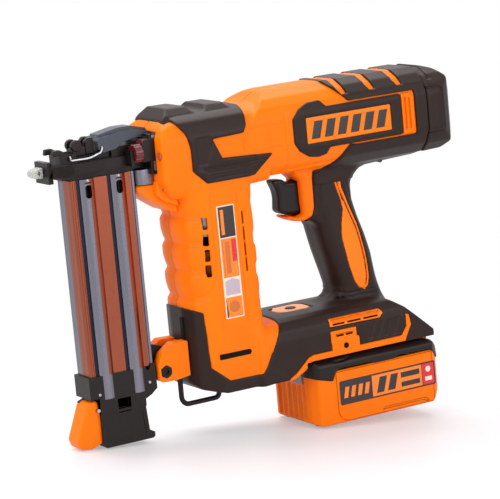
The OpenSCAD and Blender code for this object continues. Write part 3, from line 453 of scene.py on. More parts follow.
# the frame's material slot that a finish stands for, where a piece doesn't name another
usual_slot = {coat.name: slot for slot, coats in {
    "orange_shell": (orange_nylon, orange_polished, orange_pale),
    "black_overmold": (soft_rubber,),
    "black_plastic": (black_nylon, dial_red),
    "black_steel": (black_steel, slate_steel),
    "bare_aluminium": (bare_aluminium, orange_reflection_aluminium, bright_wire),
    "clear_tip": (milky_plastic,),
}.items() for coat in coats}

for coat, nodes in (
        (black_nylon, "mode_button terminal_block cooling_fan jam_latch trigger_switch"),
        (screw_steel, "housing_screws nose_screws"),
        (board_green, "control_board battery_board"),
        (cell_film, "battery_cells"),
        (key_red, "battery_button"),
        (bright_wire, "battery_button_spring latch_wire contact_spring pusher_spring trigger_spring"),
        (turned_aluminium, "cylinder gas_chamber piston"),
        (seal_rubber, "piston_seal bumper"),
        (ground_steel, "driver_blade lifter_wheel ball_bearings motor_shaft ring_gear planet_gear_1"
                       " planet_gear_2 planet_gear_3 planet_carrier"),
        (cast_aluminium, "gear_case"),
        (wound_copper, "stator rotor"),
        (black_steel, "nosepiece jam_door contact_arm magazine_rail pusher bracket_bolt"),
        (milky_plastic, "no_mar_tip"),
        (dial_red, "depth_wheel"),
        (clear_lens, "led_lenses")):
    for node in nodes.split():
        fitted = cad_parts[node]
        fitted.data.materials.clear()
        fitted.data.materials.append(coat)

# ---------------- shell and overmoulding

clay = Clay((-90, -38.6, 42), (184, 38.6, 270.5), PITCH)
X, Y, Z = clay.x, clay.y, clay.z

nose_end = both(
    side([(-86.3, 213), (-86.3, 246), (-83, 253), (-77, 258.5), (-68, 261), (8, 261.5), (8, 200), (-8, 199),
        (-50, 203), (-66, 193), (-70, 186)], 2.5),
    across([(0, 261.5), (17, 261), (28, 254), (32.4, 244), (32.4, 222), (30, 206), (25, 198), (0, 197)],
        3.5), 5)
barrel = both(side([(-6, 250), (4, 261), (13, 267), (22, 268.5), (151, 268.5), (151, 202), (-6, 202)], 1.5),
    across([(0, 268.6), (12, 268.2), (23.5, 262.6), (30, 256), (33.2, 248), (33.2, 220), (28, 210),
        (20, 202.5), (0, 202)], 1.8), 1.2)
rib_wave = sum((np.exp(-((Z - z) / 2.6) ** 2) + 0.55 * np.exp(-((Z - z - 4) / 4.0) ** 2)
    for z in (119.5, 140.5, 161.5, 182.5)))
rib_reach = np.clip((-54 - X) / 6, 0, 1)
column = both(
    plan([(-70.6, 0), (-70.6, 9), (-67, 21), (-60, 29), (-52, 32.6), (-16, 33), (-12.5, 30), (-12, 0)], 3),
    side([(-71.5, 55), (-66, 50), (-50, 46), (-10, 46), (2, 60), (4, 88), (-7.7, 100), (-13.4, 105),
        (-14, 118), (-12, 122), (-12.6, 128), (-15.3, 133), (-15, 140), (-11.2, 143.5), (-12, 152.5),
        (-15.2, 156.5), (-15.2, 164), (-13.2, 167), (-13, 175), (-14.7, 189), (-10, 201), (-10, 214),
        (-71.5, 214)], 1.6), 1.5)
column = column + 1.9 * rib_wave * rib_reach
grip = both(
    side([(48, 205), (49.5, 186), (50.5, 170), (54, 157), (59.5, 135), (65.3, 114), (68, 104), (67, 98),
        (60, 92), (52, 86), (112, 82), (111, 89), (108.3, 95), (105.5, 104), (103.8, 112), (101.3, 127),
        (97, 143), (92, 158.5), (88.6, 172), (88.4, 183.5), (91, 190.5), (97, 195.5), (104, 197.5),
        (151, 199.3), (154.5, 200.5), (154.5, 204), (140, 208), (48, 214)], 2.2),
    np.abs(Y) - (16.6 + 1.2 * np.exp(-((Z - 135) / 22) ** 2)), 15)
base = both(
    side([(-20, 46), (-20, 92), (2, 92), (44, 91.5), (86, 91.5), (101, 90), (113, 82), (137.8, 60),
        (137.8, 50.2), (15, 50.2), (7, 46)], 1.6),
    across([(0, 92), (13, 91.6), (24, 90.6), (31, 88.5), (35.2, 83), (36.2, 76), (36.2, 44), (0, 44)], 2.0),
    1.5)
guard = both(
    side([(34, 203), (37.5, 197.5), (42, 193.5), (43, 167), (37, 165.2), (30.2, 167), (29.6, 164.8),
        (36, 161.6), (43, 160.4), (48, 161.5), (56, 158), (56, 203)], 1.2), np.abs(Y) - 13.5, 7)

mass = nose_end
for part, blend in ((barrel, 3), (column, 5), (guard, 4), (grip, 4), (base, 5)):
    mass = join(mass, part, blend)

hollow = mass + WALL
pocket = join(within(x=(22, 160), y=(-20.4, 20.4), z=(40, 54.4)),
    within(x=(22, 160), y=(-23.8, 23.8), z=(54.2, 60.4)))
pocket_wall = pocket - WALL
shoulder_way = both(within(x=(19, 160), z=(40, 55.4)), 24.6 - np.abs(Y))
pocket = join(pocket, shoulder_way)
vents = 9.0
for low in (136, 148, 160, 172.5):
    vents = join(vents, within(x=(-57.2, -53.4), z=(low, low + 9.2)))
    vents = join(vents, within(x=(-24.3, -22.9), z=(low - 0.6, low + 10)))
vents = both(vents, 27 - np.abs(Y))
trigger_way = within(x=(33, 62.3), y=(-6.4, 6.4), z=(163.5, 192.5))
nose_way = within(x=(-95, -80), y=(-20, 20), z=(219.5, 250.3))
lens_ways = both(within(x=(-95, -80)), np.sqrt((np.abs(Y) - 26) ** 2 + (Z - 233) ** 2) - 3.1)
mode_way = within(x=(25.6, 34.4), y=(-4.4, 4.4), z=(84, 95))
openings = vents
for way in (trigger_way, nose_way, lens_ways, mode_way, pocket):
    openings = join(openings, way)


def on_sides(shape, from_middle=20):
    return both(shape, from_middle - np.abs(Y))


def groove(points, wide):
    """A line cut along a path on the sides."""
    line = np.float32(1e9)
    for (ax, az), (bx, bz) in zip(points, points[1:]):
        ex, ez = bx - ax, bz - az
        t = np.clip(((X - ax) * ex + (Z - az) * ez) / (ex * ex + ez * ez), 0, 1)
        line = np.minimum(line, np.sqrt((X - ax - ex * t) ** 2 + (Z - az - ez * t) ** 2))
    return line - wide / 2


def sunk(shape, region, deep, soft=0.6):
    """Sinks a region of the surface."""
    return both(shape, -both(region, -(shape + deep), soft), soft)


def scored(shape, paths, wide, from_middle=20, deep=0.5, soft=0.4):
    """Cuts lines into the sides of the surface."""
    for path in paths:
        shape = sunk(shape, on_sides(groove(path, wide), from_middle), deep, soft)
    return shape


skin = sunk(mass, on_sides(side(box_points(-17, 18, 226.5, 244), 0.8)), 0.9)
skin = sunk(skin, on_sides(side([(-46.3, 101), (-28.6, 101), (-29.6, 190), (-46.3, 190)], 0.6)), 0.5)
skin = scored(skin, ([(-49.6, 199), (-49.8, 138), (-54, 127), (-61, 121)],
    [(-26.8, 196), (-27.2, 150), (-26.6, 97)], [(21.5, 203), (21.5, 250)], [(27, 205.5), (66, 206.5)]), 1.1,
    deep=0.7)
for hand, half in (("left", Y + 0.05), ("right", 0.05 - Y)):
    shell = cut(both(skin, half, 0.9), both(hollow, -pocket_wall, 0.5))
    moulded("shell_" + hand, cut(shell, openings, 0.5), orange_nylon, "root", ["housing_" + hand], 150000)


def layer(region, proud, soft=1.1, sink=0.7):
    """A skin on the outside of the shell, inside a region."""
    return cut(both(mass - proud, region, soft), mass + sink)


def over(name, region, proud, coat, stands_for=(), most=50000, soft=1.1, sink=0.7):
    """A piece moulded over the shell inside a region."""
    moulded(name, cut(layer(region, proud, soft, sink), openings, 0.4), coat, "root", stands_for, most)


# front band with its two bumper lugs
band = side([(-79, 272), (-75.5, 262), (-65.5, 247), (-62.8, 236), (-62.5, 218.5), (-51.5, 207.6),
    (-8.5, 207.6), (7.2, 222.6), (-36.5, 225), (-43.5, 240.3), (-16.5, 241.3), (-13, 247), (-10.5, 262),
    (-10, 272)], 0.8)
lug_section = across([(0, 268.4), (12.5, 268.4), (20.5, 261), (24, 255), (0, 250)], 0.8)
lugs = join(side([(-79, 256), (-78, 259), (-71.5, 266.6), (-54.5, 266.2), (-48.6, 259), (-48, 256)], 0.8),
    side([(-44, 256), (-43.2, 259), (-38, 265.4), (-23.5, 265.2), (-17.2, 259), (-16.6, 256)], 0.8))
front_band = join(both(mass - 1.9, band, 1.1), both(lugs, lug_section, 1.0), 0.6)
front_band = cut(front_band, mass + 0.7)
front_band = sunk(front_band,
    on_sides(side([(-58, 222), (-50, 222), (-44.6, 236), (-46.5, 243), (-58, 243)], 0.5), 25), 0.5)
front_band = scored(front_band, [[(-46 - (level - 211) * 0.9, level), (-9 + (level - 211), level)]
    for level in (211.0, 213.6, 216.2, 218.8)], 0.9, 25, soft=0.3)
moulded("front_band", cut(front_band, openings, 0.4), soft_rubber, "root", ["front_overmold"], 70000)

# rear overmoulding: tread lugs across the top, open where the name band and louvre sit
tread = both(
    side([(63, 272), (68.5, 264.5), (79.5, 252), (139.8, 252), (139.8, 217.6), (78, 217.6), (70, 207),
        (62, 200.5), (52, 197.5), (52, 188), (151, 188), (151, 272)], 0.9),
    -side([(20, 252), (20, 217.6), (139.8, 217.6), (139.8, 252)], 0.4), 0.4)
rear_rubber = both(mass - 1.9, tread, 1.1)
gaps = 9.0
for low in (71.5, 97.5, 123.0):
    gaps = join(gaps,
        side([(low, 275), (low + 1.8, 262), (low + 4, 257.5), (low + 9, 257.5), (low + 8.2, 262),
            (low + 8, 275)], 0.8))
rear_rubber = sunk(rear_rubber, both(gaps, 254 - Z), 3.0, 0.8)
rear_rubber = both(cut(rear_rubber, mass + 1.6), Z - 268.5)
moulded("rear_overmoulding", rear_rubber, soft_rubber, "root", ["rear_overmold"], 70000)

# rear cap, bevelled all round, with a stepped panel on each side
cap = both(
    side([(150.6, 268.7), (158, 268.7), (168.5, 265), (177, 256.5), (181.5, 246), (181.5, 218),
        (177.5, 207.5), (169, 201), (150.6, 200)], 1.6),
    across([(0, 268.7), (13.5, 268.7), (26, 262), (33, 254.5), (35.8, 247), (35.8, 219), (30, 208),
        (21, 200), (0, 199.5)], 1.6), 1.5)
cap = both(cap, plan([(150.6, 0), (150.6, 36.5), (163, 36.5), (174, 30), (181.6, 20), (181.6, 0)], 1.6), 2)
cap = scored(cap, [[(150, 252), (164, 252), (166.5, 249), (166.5, 219), (164, 216), (150, 216)]], 1.3, 24,
    1.1, 0.6)
cap = sunk(cap,
    on_sides(side([(150, 250.5), (163, 250.5), (165, 248), (165, 220), (163, 217.5), (150, 217.5)], 0.5),
        24), 0.5, 0.5)
cap = sunk(cap, side([(152, 275), (153, 262), (156.5, 258), (159.5, 258), (158, 262), (157.5, 275)], 0.8),
    1.6, 0.7)
cap = sunk(cap,
    both(within(x=(170, 190)),
        across([(0, 250), (14, 250), (22, 242), (22, 226), (14, 218), (0, 218)], 1.0)), 2.2, 0.8)
for turn in (-12, -4, 4, 12):
    cap = sunk(cap, both(within(x=(170, 190), z=(222, 246)), np.abs(Y - turn) - 1.2), 4.2, 0.6)
moulded("rear_end_cap", cap, soft_rubber, "root", ["rear_cap"], 45000)

# name band: black frame, orange plate and slanted bars in place of a name
name_frame = side([(27.4, 226), (27.4, 245), (33.5, 251.5), (42, 255.6), (54, 256.4), (58.6, 251),
    (127, 251), (127, 218.8), (59.2, 218.8), (57.4, 213.6), (50, 212.2), (41.5, 213.6), (31.5, 219.5)], 0.9)
plate = side([(39, 224.2), (39, 244.2), (116.6, 244.2), (116.6, 224.2)], 0.5)
over("name_band", on_sides(cut(name_frame, plate, 0.5), 12), 1.7, soft_rubber, most=40000)
over("name_plate", on_sides(plate - 0.4), 1.15, orange_polished, ["name_plates"], 16000, 0.5)
louvre = cut(
    side([(127.4, 219), (134.5, 219), (138.6, 224), (138.6, 246), (135.5, 250.8), (127.4, 250.8)], 0.9),
    join(side(box_points(129.6, 131.2, 222.5, 248), 0.3), side(box_points(133.6, 135.2, 222.5, 247), 0.3)),
    0.3)
over("side_louvre", on_sides(louvre), 1.8, orange_nylon, most=24000, soft=0.7)

# grip rubber, orange inlay and its dark line
hold = side([(52.4, 200), (51.6, 194), (51.6, 171), (49.4, 164), (44.5, 160.3), (36, 158), (40, 93),
    (128, 93), (128, 150), (160, 190), (160, 210), (137, 207), (78, 219), (68, 206), (60, 200.8)], 0.8)
inlay = side([(73.6, 196.2), (75.6, 193), (76.2, 183.5), (81.8, 169), (88.3, 152.4), (91, 138.8),
    (94, 121.8), (94.9, 109.3), (93.3, 101.8), (89.8, 99.2), (84.2, 101.6), (80.4, 107.7), (76.8, 119.8),
    (73.6, 133.5), (71.8, 143), (72.9, 155.5), (75.2, 166), (74.3, 173), (70.2, 186.2), (69.4, 191)], 0.8)
seam = join(
    groove([(73, 192), (73.2, 184), (79.4, 167.5), (86, 150.5), (89, 137), (91.8, 121), (92.5, 109),
        (91.2, 103)], 1.1),
    side([(72, 193), (74, 191.5), (73.6, 184), (77.4, 173), (76, 172), (71.6, 187)], 0.4))
grip_skin = cut(layer(hold, 1.1, 1.2, 0.8), on_sides(inlay, 8), 0.5)
grip_skin = scored(grip_skin, ([(57, 191.5), (66, 194.5), (67.5, 197)],
    [(57, 191.5), (56.6, 176), (53, 167)], [(62, 101.5), (76, 98.5), (100, 99)],
    [(82, 204), (79.6, 197), (80.6, 187), (84.5, 174)]), 1.0, 8)
moulded("grip_rubber", cut(grip_skin, openings, 0.4), soft_rubber, "root", ["grip_overmold"], 70000)
over("grip_inlay", on_sides(cut(inlay + 0.2, seam, 0.3), 8), 0.9, orange_polished, most=26000, soft=0.5)
over("grip_inlay_line", on_sides(both(seam, inlay + 0.8), 8), 0.3, black_nylon, most=16000, soft=0.3)

# boot round the column's foot and the cover over the base
panel = [(-62.3, 108), (-60.8, 66), (-47.5, 54.4), (-20.5, 54.2), (-16.5, 59), (1.5, 92), (-4, 118),
    (-60, 118)]
boot = both(
    side([(-74, 113.8), (-66, 110.6), (-60, 108), (-10, 108), (-10, 60), (6, 44), (-90, 44), (-90, 113.8)],
        0.6), -on_sides(side(panel, 0.8), 15), 0.6)
moulded("column_boot", layer(boot, 1.3, 1.0), soft_rubber, "root", ["boot_overmold"], 40000)
cover = side([(-16.2, 58.5), (2, 92.6), (3, 99), (128, 99), (141, 60), (141, 44), (-20, 44), (-19, 54)],
    0.6)
stripe = side([(4, 42), (14.5, 47.5), (24.2, 55.6), (26, 55.6), (110.8, 55.6), (117.6, 68.5), (116, 77),
    (113, 77.5), (112.6, 67.6), (107.5, 60.9), (25.5, 60.9), (21, 59.6), (9, 49.5), (-1, 44)], 0.5)
trim = side([(42.6, 85.6), (42.6, 79.2), (88.8, 78.6), (92.9, 82), (90, 85.8)], 0.7)
trim_dip = side([(44.6, 84.4), (44.6, 82.2), (88.4, 82.2), (89.6, 83.4), (88.6, 84.4)], 0.3)
pad = side([(42.4, 76.0), (66.2, 76.0), (66.2, 69.4), (68.4, 68.4), (68.4, 57.4), (43.0, 57.4), (42.4, 69)],
    0.6)
cover_skin = cut(layer(cover, 1.1, 1.1, 0.8), on_sides(join(join(stripe, trim), pad), 20), 0.4)
for k in range(4):
    low = 76 + 7.5 * k
    cover_skin = sunk(cover_skin,
        on_sides(side([(low, 63.5), (low + 4, 63.5), (low + 8.5, 76), (low + 4.5, 76)], 0.5)), 0.45, 0.4)
cover_skin = cut(cover_skin, within(x=(14.5, 45.5), y=(-9, 9), z=(80, 99)), 0.4)
moulded("base_cover", cut(cover_skin, openings, 0.4), soft_rubber, "root", ["base_overmold"], 70000)
over("base_stripe", on_sides(stripe + 0.15, 22), 1.5, orange_nylon, most=24000, soft=0.7)
trim_skin = sunk(layer(on_sides(trim + 0.15, 22), 1.5, 0.7), on_sides(trim_dip, 22), 1.0, 0.3)
moulded("base_trim", trim_skin, orange_polished, most=24000)
hook_pad = join(both(both(mass - 1.2, side(box_points(42.4, 66.2, 76.0, 66), 0.5), 0.6), 20 - np.abs(Y)),
    both(both(side([(43, 57.4), (68.4, 57.4), (68.4, 68.6), (43, 69.2)], 0.5), np.abs(Y) - 37.9, 0.7),
        33 - np.abs(Y)))
hook_pad = cut(hook_pad, both(np.sqrt((X - 55.5) ** 2 + (Z - 63) ** 2) - 2.1, 20 - np.abs(Y)), 0.3)
hook_pad = sunk(hook_pad,
    on_sides(join(within(x=(47.5, 54), z=(71.2, 72.4)), within(x=(56, 62.5), z=(71.2, 72.4))), 20), 0.9,
    0.2)
moulded("belt_hook_pads", cut(hook_pad, mass + 3), orange_nylon, most=24000)

# painted shade as dark sheets in the slots in the trim, the belt-hook pads and low on the column, then the
# name plate's bars and the label
plates("trim_slots",
    [box_points(45, 56, 80.2, 81.7), box_points(58.4, 71, 80.2, 81.7), box_points(73.4, 87, 80.2, 81.7)],
    recess_shade, 37.15, 36.0)
plates("pad_slots", [box_points(47.5, 54, 71.0, 72.2), box_points(56, 62.5, 71.0, 72.2)], recess_shade, 37.55,
    36.5)
plates("pad_holes", [round_points(55.5, 63, 2.3, 24)], recess_shade, 37.99, 37.0)
plates("side_slot", [[(-54.5, 71.5), (-28, 71.5), (-26.6, 73.6), (-28, 75.6), (-54.5, 75.6)]], recess_shade, 33.3,
    32)
cut_from("boot_slot", [("x", -72.7, -70, box_points(-11.2, -6.8, 88, 105))], recess_shade, bevel=0.3)
plates("name_plate_bars", [slanted(42.6 + 11.9 * k, 227.4, 7.6, 13.6, 3.8) for k in range(6)], film_black,
    34.7, 33.8)
plates("column_label", [[(-45.6, 101.8), (-29.9, 101.8), (-30.4, 189), (-45.6, 189)]], film_pale, 32.62,
    31.6)
plates("column_label_dark", [[(-44.7, 164.4), (-31.0, 164.4), (-31.1, 188.1), (-44.7, 188.1)],
    [(-44.7, 102.7), (-44.7, 117.6), (-42.6, 112.2), (-43.4, 102.7)]], film_black, 32.78, 32)
plates("column_label_orange", [box_points(-44.7, -31.0, 133.4, 163.6),
    [(-43, 102.7), (-30.7, 102.7), (-30.8, 118), (-44.7, 118)], box_points(-43.2, -40.2, 166.5, 186)],
    film_orange, 32.84, 32)
plates("column_label_red", [box_points(-35.8, -31.6, 145.2, 162.6)], film_red, 32.92, 32)
plates("column_label_pale", [[(-44, 119.8), (-31.6, 119.8), (-31.6, 130.4), (-37.8, 132.6), (-44, 130.4)]],
    film_lilac, 32.92, 32)
plates("column_label_marks", [round_points(-37.8, 110.6, 4.6, 24), box_points(-43.6, -42.9, 135, 162),
    box_points(-41.6, -37.4, 136.4, 161)], film_amber, 33.0, 32)

# ---------------- battery

clay = Clay((20, -37, -1), (147, 37, 61.5), PITCH)
X, Y, Z = clay.x, clay.y, clay.z
cells_room = both(plan([(26.6, 0), (26.6, 22), (34, 32.8), (137.5, 32.8), (141.6, 27), (141.6, 0)], 0.8),
    within(z=(3.6, 46.6)))
case = both(
    plan([(24, 0), (24, 21), (25.5, 26), (29.5, 33.2), (32, 34.4), (136, 34.4), (143.8, 27.5), (143.8, 0)],
        1.0),
    side([(23.6, 7.5), (25.5, 3.2), (31, 0.9), (135.6, 0.9), (144, 9.3), (144, 43.6), (23.6, 43.6)], 1.2),
    1.4)
side_panel = side([(44.2, 10), (47, 4.6), (53, 1.8), (134.4, 1.8), (142.6, 9.8), (142.6, 36), (139, 41),
    (134, 43.4), (44.2, 43.4)], 1.4)
case = join(case, both(case - 1.0, on_sides(side_panel, 25), 0.7), 0.3)
case = scored(case, [[(88, 5.6), (126, 5.6), (129, 4.0)]], 0.9, 25)
grille = within(x=(10, 27), y=(-20.5, 20.5), z=(5.5, 33))
for y in (-15.4, -7.7, 0, 7.7, 15.4):
    grille = cut(grille, within(y=(y - 1.7, y + 1.7)), 0.4)
case = cut(case, both(grille, within(x=(10, 26.2)), 0.6), 0.6)
case = cut(case, within(x=(10, 25.2), y=(-20.5, 20.5), z=(5.5, 33)), 0.6)
moulded("battery_case_moulding", cut(case, cells_room, 0.3), orange_nylon, "battery", ["battery_case"])
top = both(
    side([(22.4, 41), (22.6, 50), (25.5, 53.8), (41, 54.3), (52, 54.7), (129, 53.6), (136.5, 51.8),
        (142.6, 46), (145.2, 36.4), (144.6, 34.6), (141.2, 35.4), (138.6, 40), (134.3, 44.4), (104.6, 44.9),
        (100.5, 43), (81.5, 42.9), (78.4, 44.5), (49.5, 44.6), (45.6, 42.2), (42.4, 35.6), (24, 40.6)],
        1.0),
    plan([(22.6, 0), (22.6, 23), (26.6, 32.2), (30.4, 35.2), (136, 36.2), (145.2, 28.5), (145.2, 0)], 1.2),
    1.2)
top = both(top, across([(0, 55.6), (29.6, 55), (36.1, 48.6), (36.1, 30), (0, 30)], 1.0), 1.2)
top = cut(top, within(y=(-24.6, 24.6), z=(49.8, 62)), 0.3)
top = cut(top, within(x=(10, 142), y=(-20.6, 20.6), z=(30, 43)), 0.4)
top = scored(top, [[(46, 50.5), (54, 50.6), (60, 52)]], 1.2, 25, 0.6, 0.6)
rails = join(within(x=(31, 132), y=(-20, 20), z=(49, 54.6)),
    within(x=(31, 132), y=(-23.4, 23.4), z=(54.6, 60)))
for y in (-12, -4, 4, 12):
    rails = cut(rails, within(x=(28, 46), y=(y - 0.9, y + 0.9), z=(55, 62)))
top = join(top, rails)
top = cut(cut(top, cells_room, 0.3), within(x=(127.8, 150), y=(-11.4, 11.4), z=(43.6, 62)), 0.3)
moulded("battery_shoulders", top, black_nylon, "battery", ["battery_top"])
cut_from("battery_feet", [("z", 0.0, 1.6, round_points(x, y, 7)) for x in (38, 130) for y in (-22, 22)],
    black_nylon, "battery", bevel=0.5)
cut_from("charge_gauge", [("x", 22.9, 24.6, box_points(-19.6, 19.6, 34.6, 42.4))], smoked_window, "battery",
    bevel=0.6)
cut_from("charge_lamps", [("x", 22.6, 23.4, round_points(y, 38.5, 1.1, 16)) for y in (-13, -8.5, -4, 0.5)],
    film_red, "battery", bevel=0.2)
# label on the battery's side: black border, three blocks, plain bars where a name and figures would be
plates("battery_label", [[(48.2, 15.4), (136.6, 15.4), (137.6, 16.4), (137.6, 33.8), (136.6, 34.8),
    (48.2, 34.8), (47.2, 33.8), (47.2, 16.4)]], film_black, 35.62, 35.0, body="battery")
plates("battery_label_amber", [box_points(77.4, 124.6, 16.7, 33.5)], film_orange, 35.76, 35.2,
    body="battery")
plates("battery_label_red", [box_points(125.2, 136.2, 16.7, 33.5)], film_red, 35.76, 35.2, body="battery")
plates("battery_label_bars", [slanted(50.5 + 6.4 * k, 20.6, 3.7, 8.8, 2) for k in range(4)], film_orange,
    35.8, 35.2, body="battery")
plates("battery_label_blocks", [slanted(81, 18.9, 7, 12.5, 3.8), slanted(91.5, 18.9, 7, 12.5, 3.8),
    box_points(104.6, 122.4, 19.2, 23.2), box_points(104.6, 122.4, 26.6, 31)], film_black, 35.9, 35.3,
    body="battery")
plates("battery_label_dots", [round_points(130.7, 29, 2.4, 20), box_points(127.4, 134, 19.6, 23)],
    film_pale, 35.9, 35.3, body="battery")

# ---------------- magazine

ribs = (-141.0, -115.0)                 # where the two round ribs stand along X
rib_radius, rib_middle = 8.7, 4.7       # of each rib's arc, and its centre's distance from the middle
near = [(-155, 1.6), (-154.8, 1.3), (-155, 1.0), (-155, -3.6), (-154.8, -3.9), (-155, -4.2), (-155, -9.4),
    (-154.2, -10.8), (-153.2, -11), (-152.9, -10.5), (-152.5, -11), (-151.4, -11), (-151.1, -10.5),
    (-150.7, -11)]
for rib in ribs:
    near += [(rib - 9.2, -11), (rib - 8.9, -10.1), (rib - 6.3, -10.1), (rib - 6.0, -11)]
    near += [
        (rib + rib_radius * math.cos(math.radians(a)), -rib_middle + rib_radius * math.sin(math.radians(a)))
        for a in range(-131, -46, 6)]
    near += [(rib + 6.0, -11)]
near += [(-104.4, -11), (-104.2, -10.2), (-103.6, -10.2), (-103.4, -11), (-101.6, -11), (-101, -10.4)]
profile = near + box_points(-101, -153.6, -9.3, 9.3) + [(x, -y) for x, y in reversed(near[6:])]
profile += [(-155, 7.6), (-154.8, 7.3), (-155, 7.0), (-155, 4.6), (-154.8, 4.3), (-155, 4.0)]
# the extrusion's flats carry a painted reflection of the orange shell; the ribs and ends get plain aluminium
# below
cover = cut_from("magazine_extrusion", [("z", 74, 223.5, profile)], orange_reflection_aluminium, "magazine",
    ["magazine_cover"], 0)
pierced(cover, twins(5, 20, *[[(rib - 2.6, 210.4), (rib - 1.3, 209), (rib + 1.3, 209), (rib + 2.6, 210.4),
    (rib + 2.6, 217.6), (rib + 1.3, 219), (rib - 1.3, 219), (rib - 2.6, 217.6)] for rib in ribs]))
recoat(cover, bare_aluminium, lambda m: (m.x < -154.6 and m.y > 1) or m.x > -104.3 or any(
    rib - 6.1 < m.x < rib + 1.2 and abs(m.y) > 11.02 for rib in ribs))
# painted shade: the grooves beside the ribs are darkened
recoat(cover, groove_shade_aluminium,
    lambda m: any(rib - 9.3 < m.x < rib - 5.9 for rib in ribs) and 10 < abs(m.y) < 11.02)
soft_edge(cover, 0.12, 1)
half_round = [
    (rib_radius * math.cos(math.radians(a)), rib_middle + rib_radius * math.sin(math.radians(a)))
    for a in range(46, 136, 5)]
ends = []
for rib in ribs:
    for sign in (-1, 1):
        ends.append(("z", 55.5, 74.2,
            [(rib + u, sign * v) for u, v in half_round] + [(rib - 6, sign * 10), (rib + 6, sign * 10)]))
cut_from("magazine_rib_ends", ends, bare_aluminium, "magazine", bevel=0.25)
# painted shade: black blocks stand where the slots in the ribs would be dark inside
cut_from("magazine_slot_shades",
    twins(11, 13.5, *[box_points(rib - 2.3, rib + 2.3, 220.1, 221.3) for rib in ribs]), black_nylon,
    "magazine", bevel=0.1)
cut_from("magazine_rivets", twins(11, 14, *[round_points(rib - 0.3, 222.4, 1.05, 20) for rib in ribs]),
    bright_wire, "magazine", bevel=0.35)

# the foot: a collar round the extrusion and a body that carries the lever
collar = [(-157, 57), (-157, 74), (-108.6, 74), (-107.2, 71), (-105.6, 71), (-103.8, 75.6), (-100.4, 75.6),
    (-100, 56), (-105, 52), (-110.6, 49.5), (-110.6, 44), (-149.4, 44), (-149.4, 57)]
legs = [(-149.4, 58), (-149.4, 20), (-147, 18), (-107, 18), (-105.4, 19.4), (-105.4, 22.6), (-107.4, 23.6),
    (-109.6, 25), (-111.2, 48), (-111.2, 58)]
foot = cut_from("magazine_foot", [("y", -12.4, 12.4, collar)], black_nylon, "magazine",
    ["magazine_end_cap"], 0.7)
mouth = ("y", -9.4, 9.4, box_points(-160, -146.8, 17, 55))
pierced(foot, [mouth, ("y", -20, -7.5, box_points(-134.5, -123.5, 46, 54)),
    ("y", -20, 20, round_points(-151, 48, 1.5, 16)), ("z", 53, 80, box_points(-153.4, -102, -9, 9))])
body = cut_from("magazine_foot_body", [("y", -11.6, 11.6, legs)], black_nylon, "magazine", bevel=0.8)
pierced(body, [mouth, ("y", -20, -7.5, box_points(-134.5, -123.5, 43, 54.5))] + twins(11.1, 20,
    [(-146, 21.5), (-112.6, 21.5), (-114.2, 40.5), (-146, 40.5)]))
cut_from("magazine_far_ear", [("y", 5, 9.2, [(-158.6, 47), (-158.6, 53.6), (-151, 56.6), (-151, 47)])],
    black_nylon, "magazine", bevel=0.6)
cut_from("magazine_pins",
    twins(11, 12.9, *[round_points(x, z, 1.15, 20) for x, z in ((-149.0, 60), (-106.2, 61.5))]),
    bright_wire, "magazine", bevel=0.3)
cut_from("magazine_lever", [("y", -8.8, 8.8, [(-150.2, 55), (-155.6, 55), (-159.6, 52), (-169.6, 26.6),
    (-167.6, 20.4), (-158, 18.8), (-148.4, 22), (-147.6, 44), (-149.2, 50)])], orange_nylon,
    "magazine_catch", ["magazine_latch"], 1.6, 3)
cut_from("magazine_lever_pin", [("y", -12.2, 12.2, round_points(-151, 48, 1.4, 16))], bright_wire,
    "magazine_catch", bevel=0.2)

# clevis between the column and the magazine, and the bent wire rest under the column
cheek = [(-98.4, 61.6), (-98.4, 73.5), (-94.6, 81.6), (-84.6, 88.2), (-71.6, 87.6), (-71.6, 60.4),
    (-84, 58.9), (-96, 59.3)]
clevis = cut_from("clevis_cheeks", twins(5.4, 15, cheek), orange_nylon, "root", ["magazine_bracket"], 0.8)
pierced(clevis, [("y", low, high, round_points(-92, 67, size, 6 if size > 4 else 20, 30))
    for low, high, size in ((-20, 20, 2.6), (-20, -12.5, 5.2), (12.5, 20, 5.2))])
cut_from("clevis_web", [("y", -5.6, 5.6, [(-82.6, 62), (-82.6, 83), (-71.6, 86), (-71.6, 60.4)])],
    orange_nylon, bevel=0.6)
bent_wire("rest_wire", [(-78, -8, 61), (-78, -8, 41), (-74.5, -8, 37), (-45, -8, 37), (-45, -8, 52)], 2.0,
    black_steel, "root", ["rest_loop"], 4.5)

# ---------------- trigger and mode plate

clay = Clay((18, -8, 163), (56, 8, 198), FINE_PITCH)
X, Y, Z = clay.x, clay.y, clay.z
blade = both(
    side([(20.4, 195.4), (22.2, 192), (24.4, 187), (25.2, 181), (24.6, 174), (24.2, 171.4), (26.6, 168.8),
        (30, 167.6), (44, 166.6), (50, 168), (50, 191), (44, 192), (34, 192.2), (31, 195.4), (22, 196.2)],
        2.2), np.abs(Y) - 6, 2.4)
blade = sunk(blade, both(side([(26, 186), (26, 174), (29.6, 174), (29.6, 186)], 1.5), np.abs(Y) - 2.4, 0.8),
    0.8, 0.6)
moulded("trigger_lever", blade, black_nylon, "trigger_body", ["trigger"], 16000)
plate = cut_from("mode_plate",
    [("z", 90.2, 92.6, [(15, -4), (20, -11), (39, -11), (44, -6), (44, 6), (39, 11), (20, 11), (15, 4)])],
    orange_pale, "root", ["mode_panel"], 0.8)
pierced(plate, [("z", 80, 99, round_points(30, 0, 4.4, 28))])

# ---------------- nose

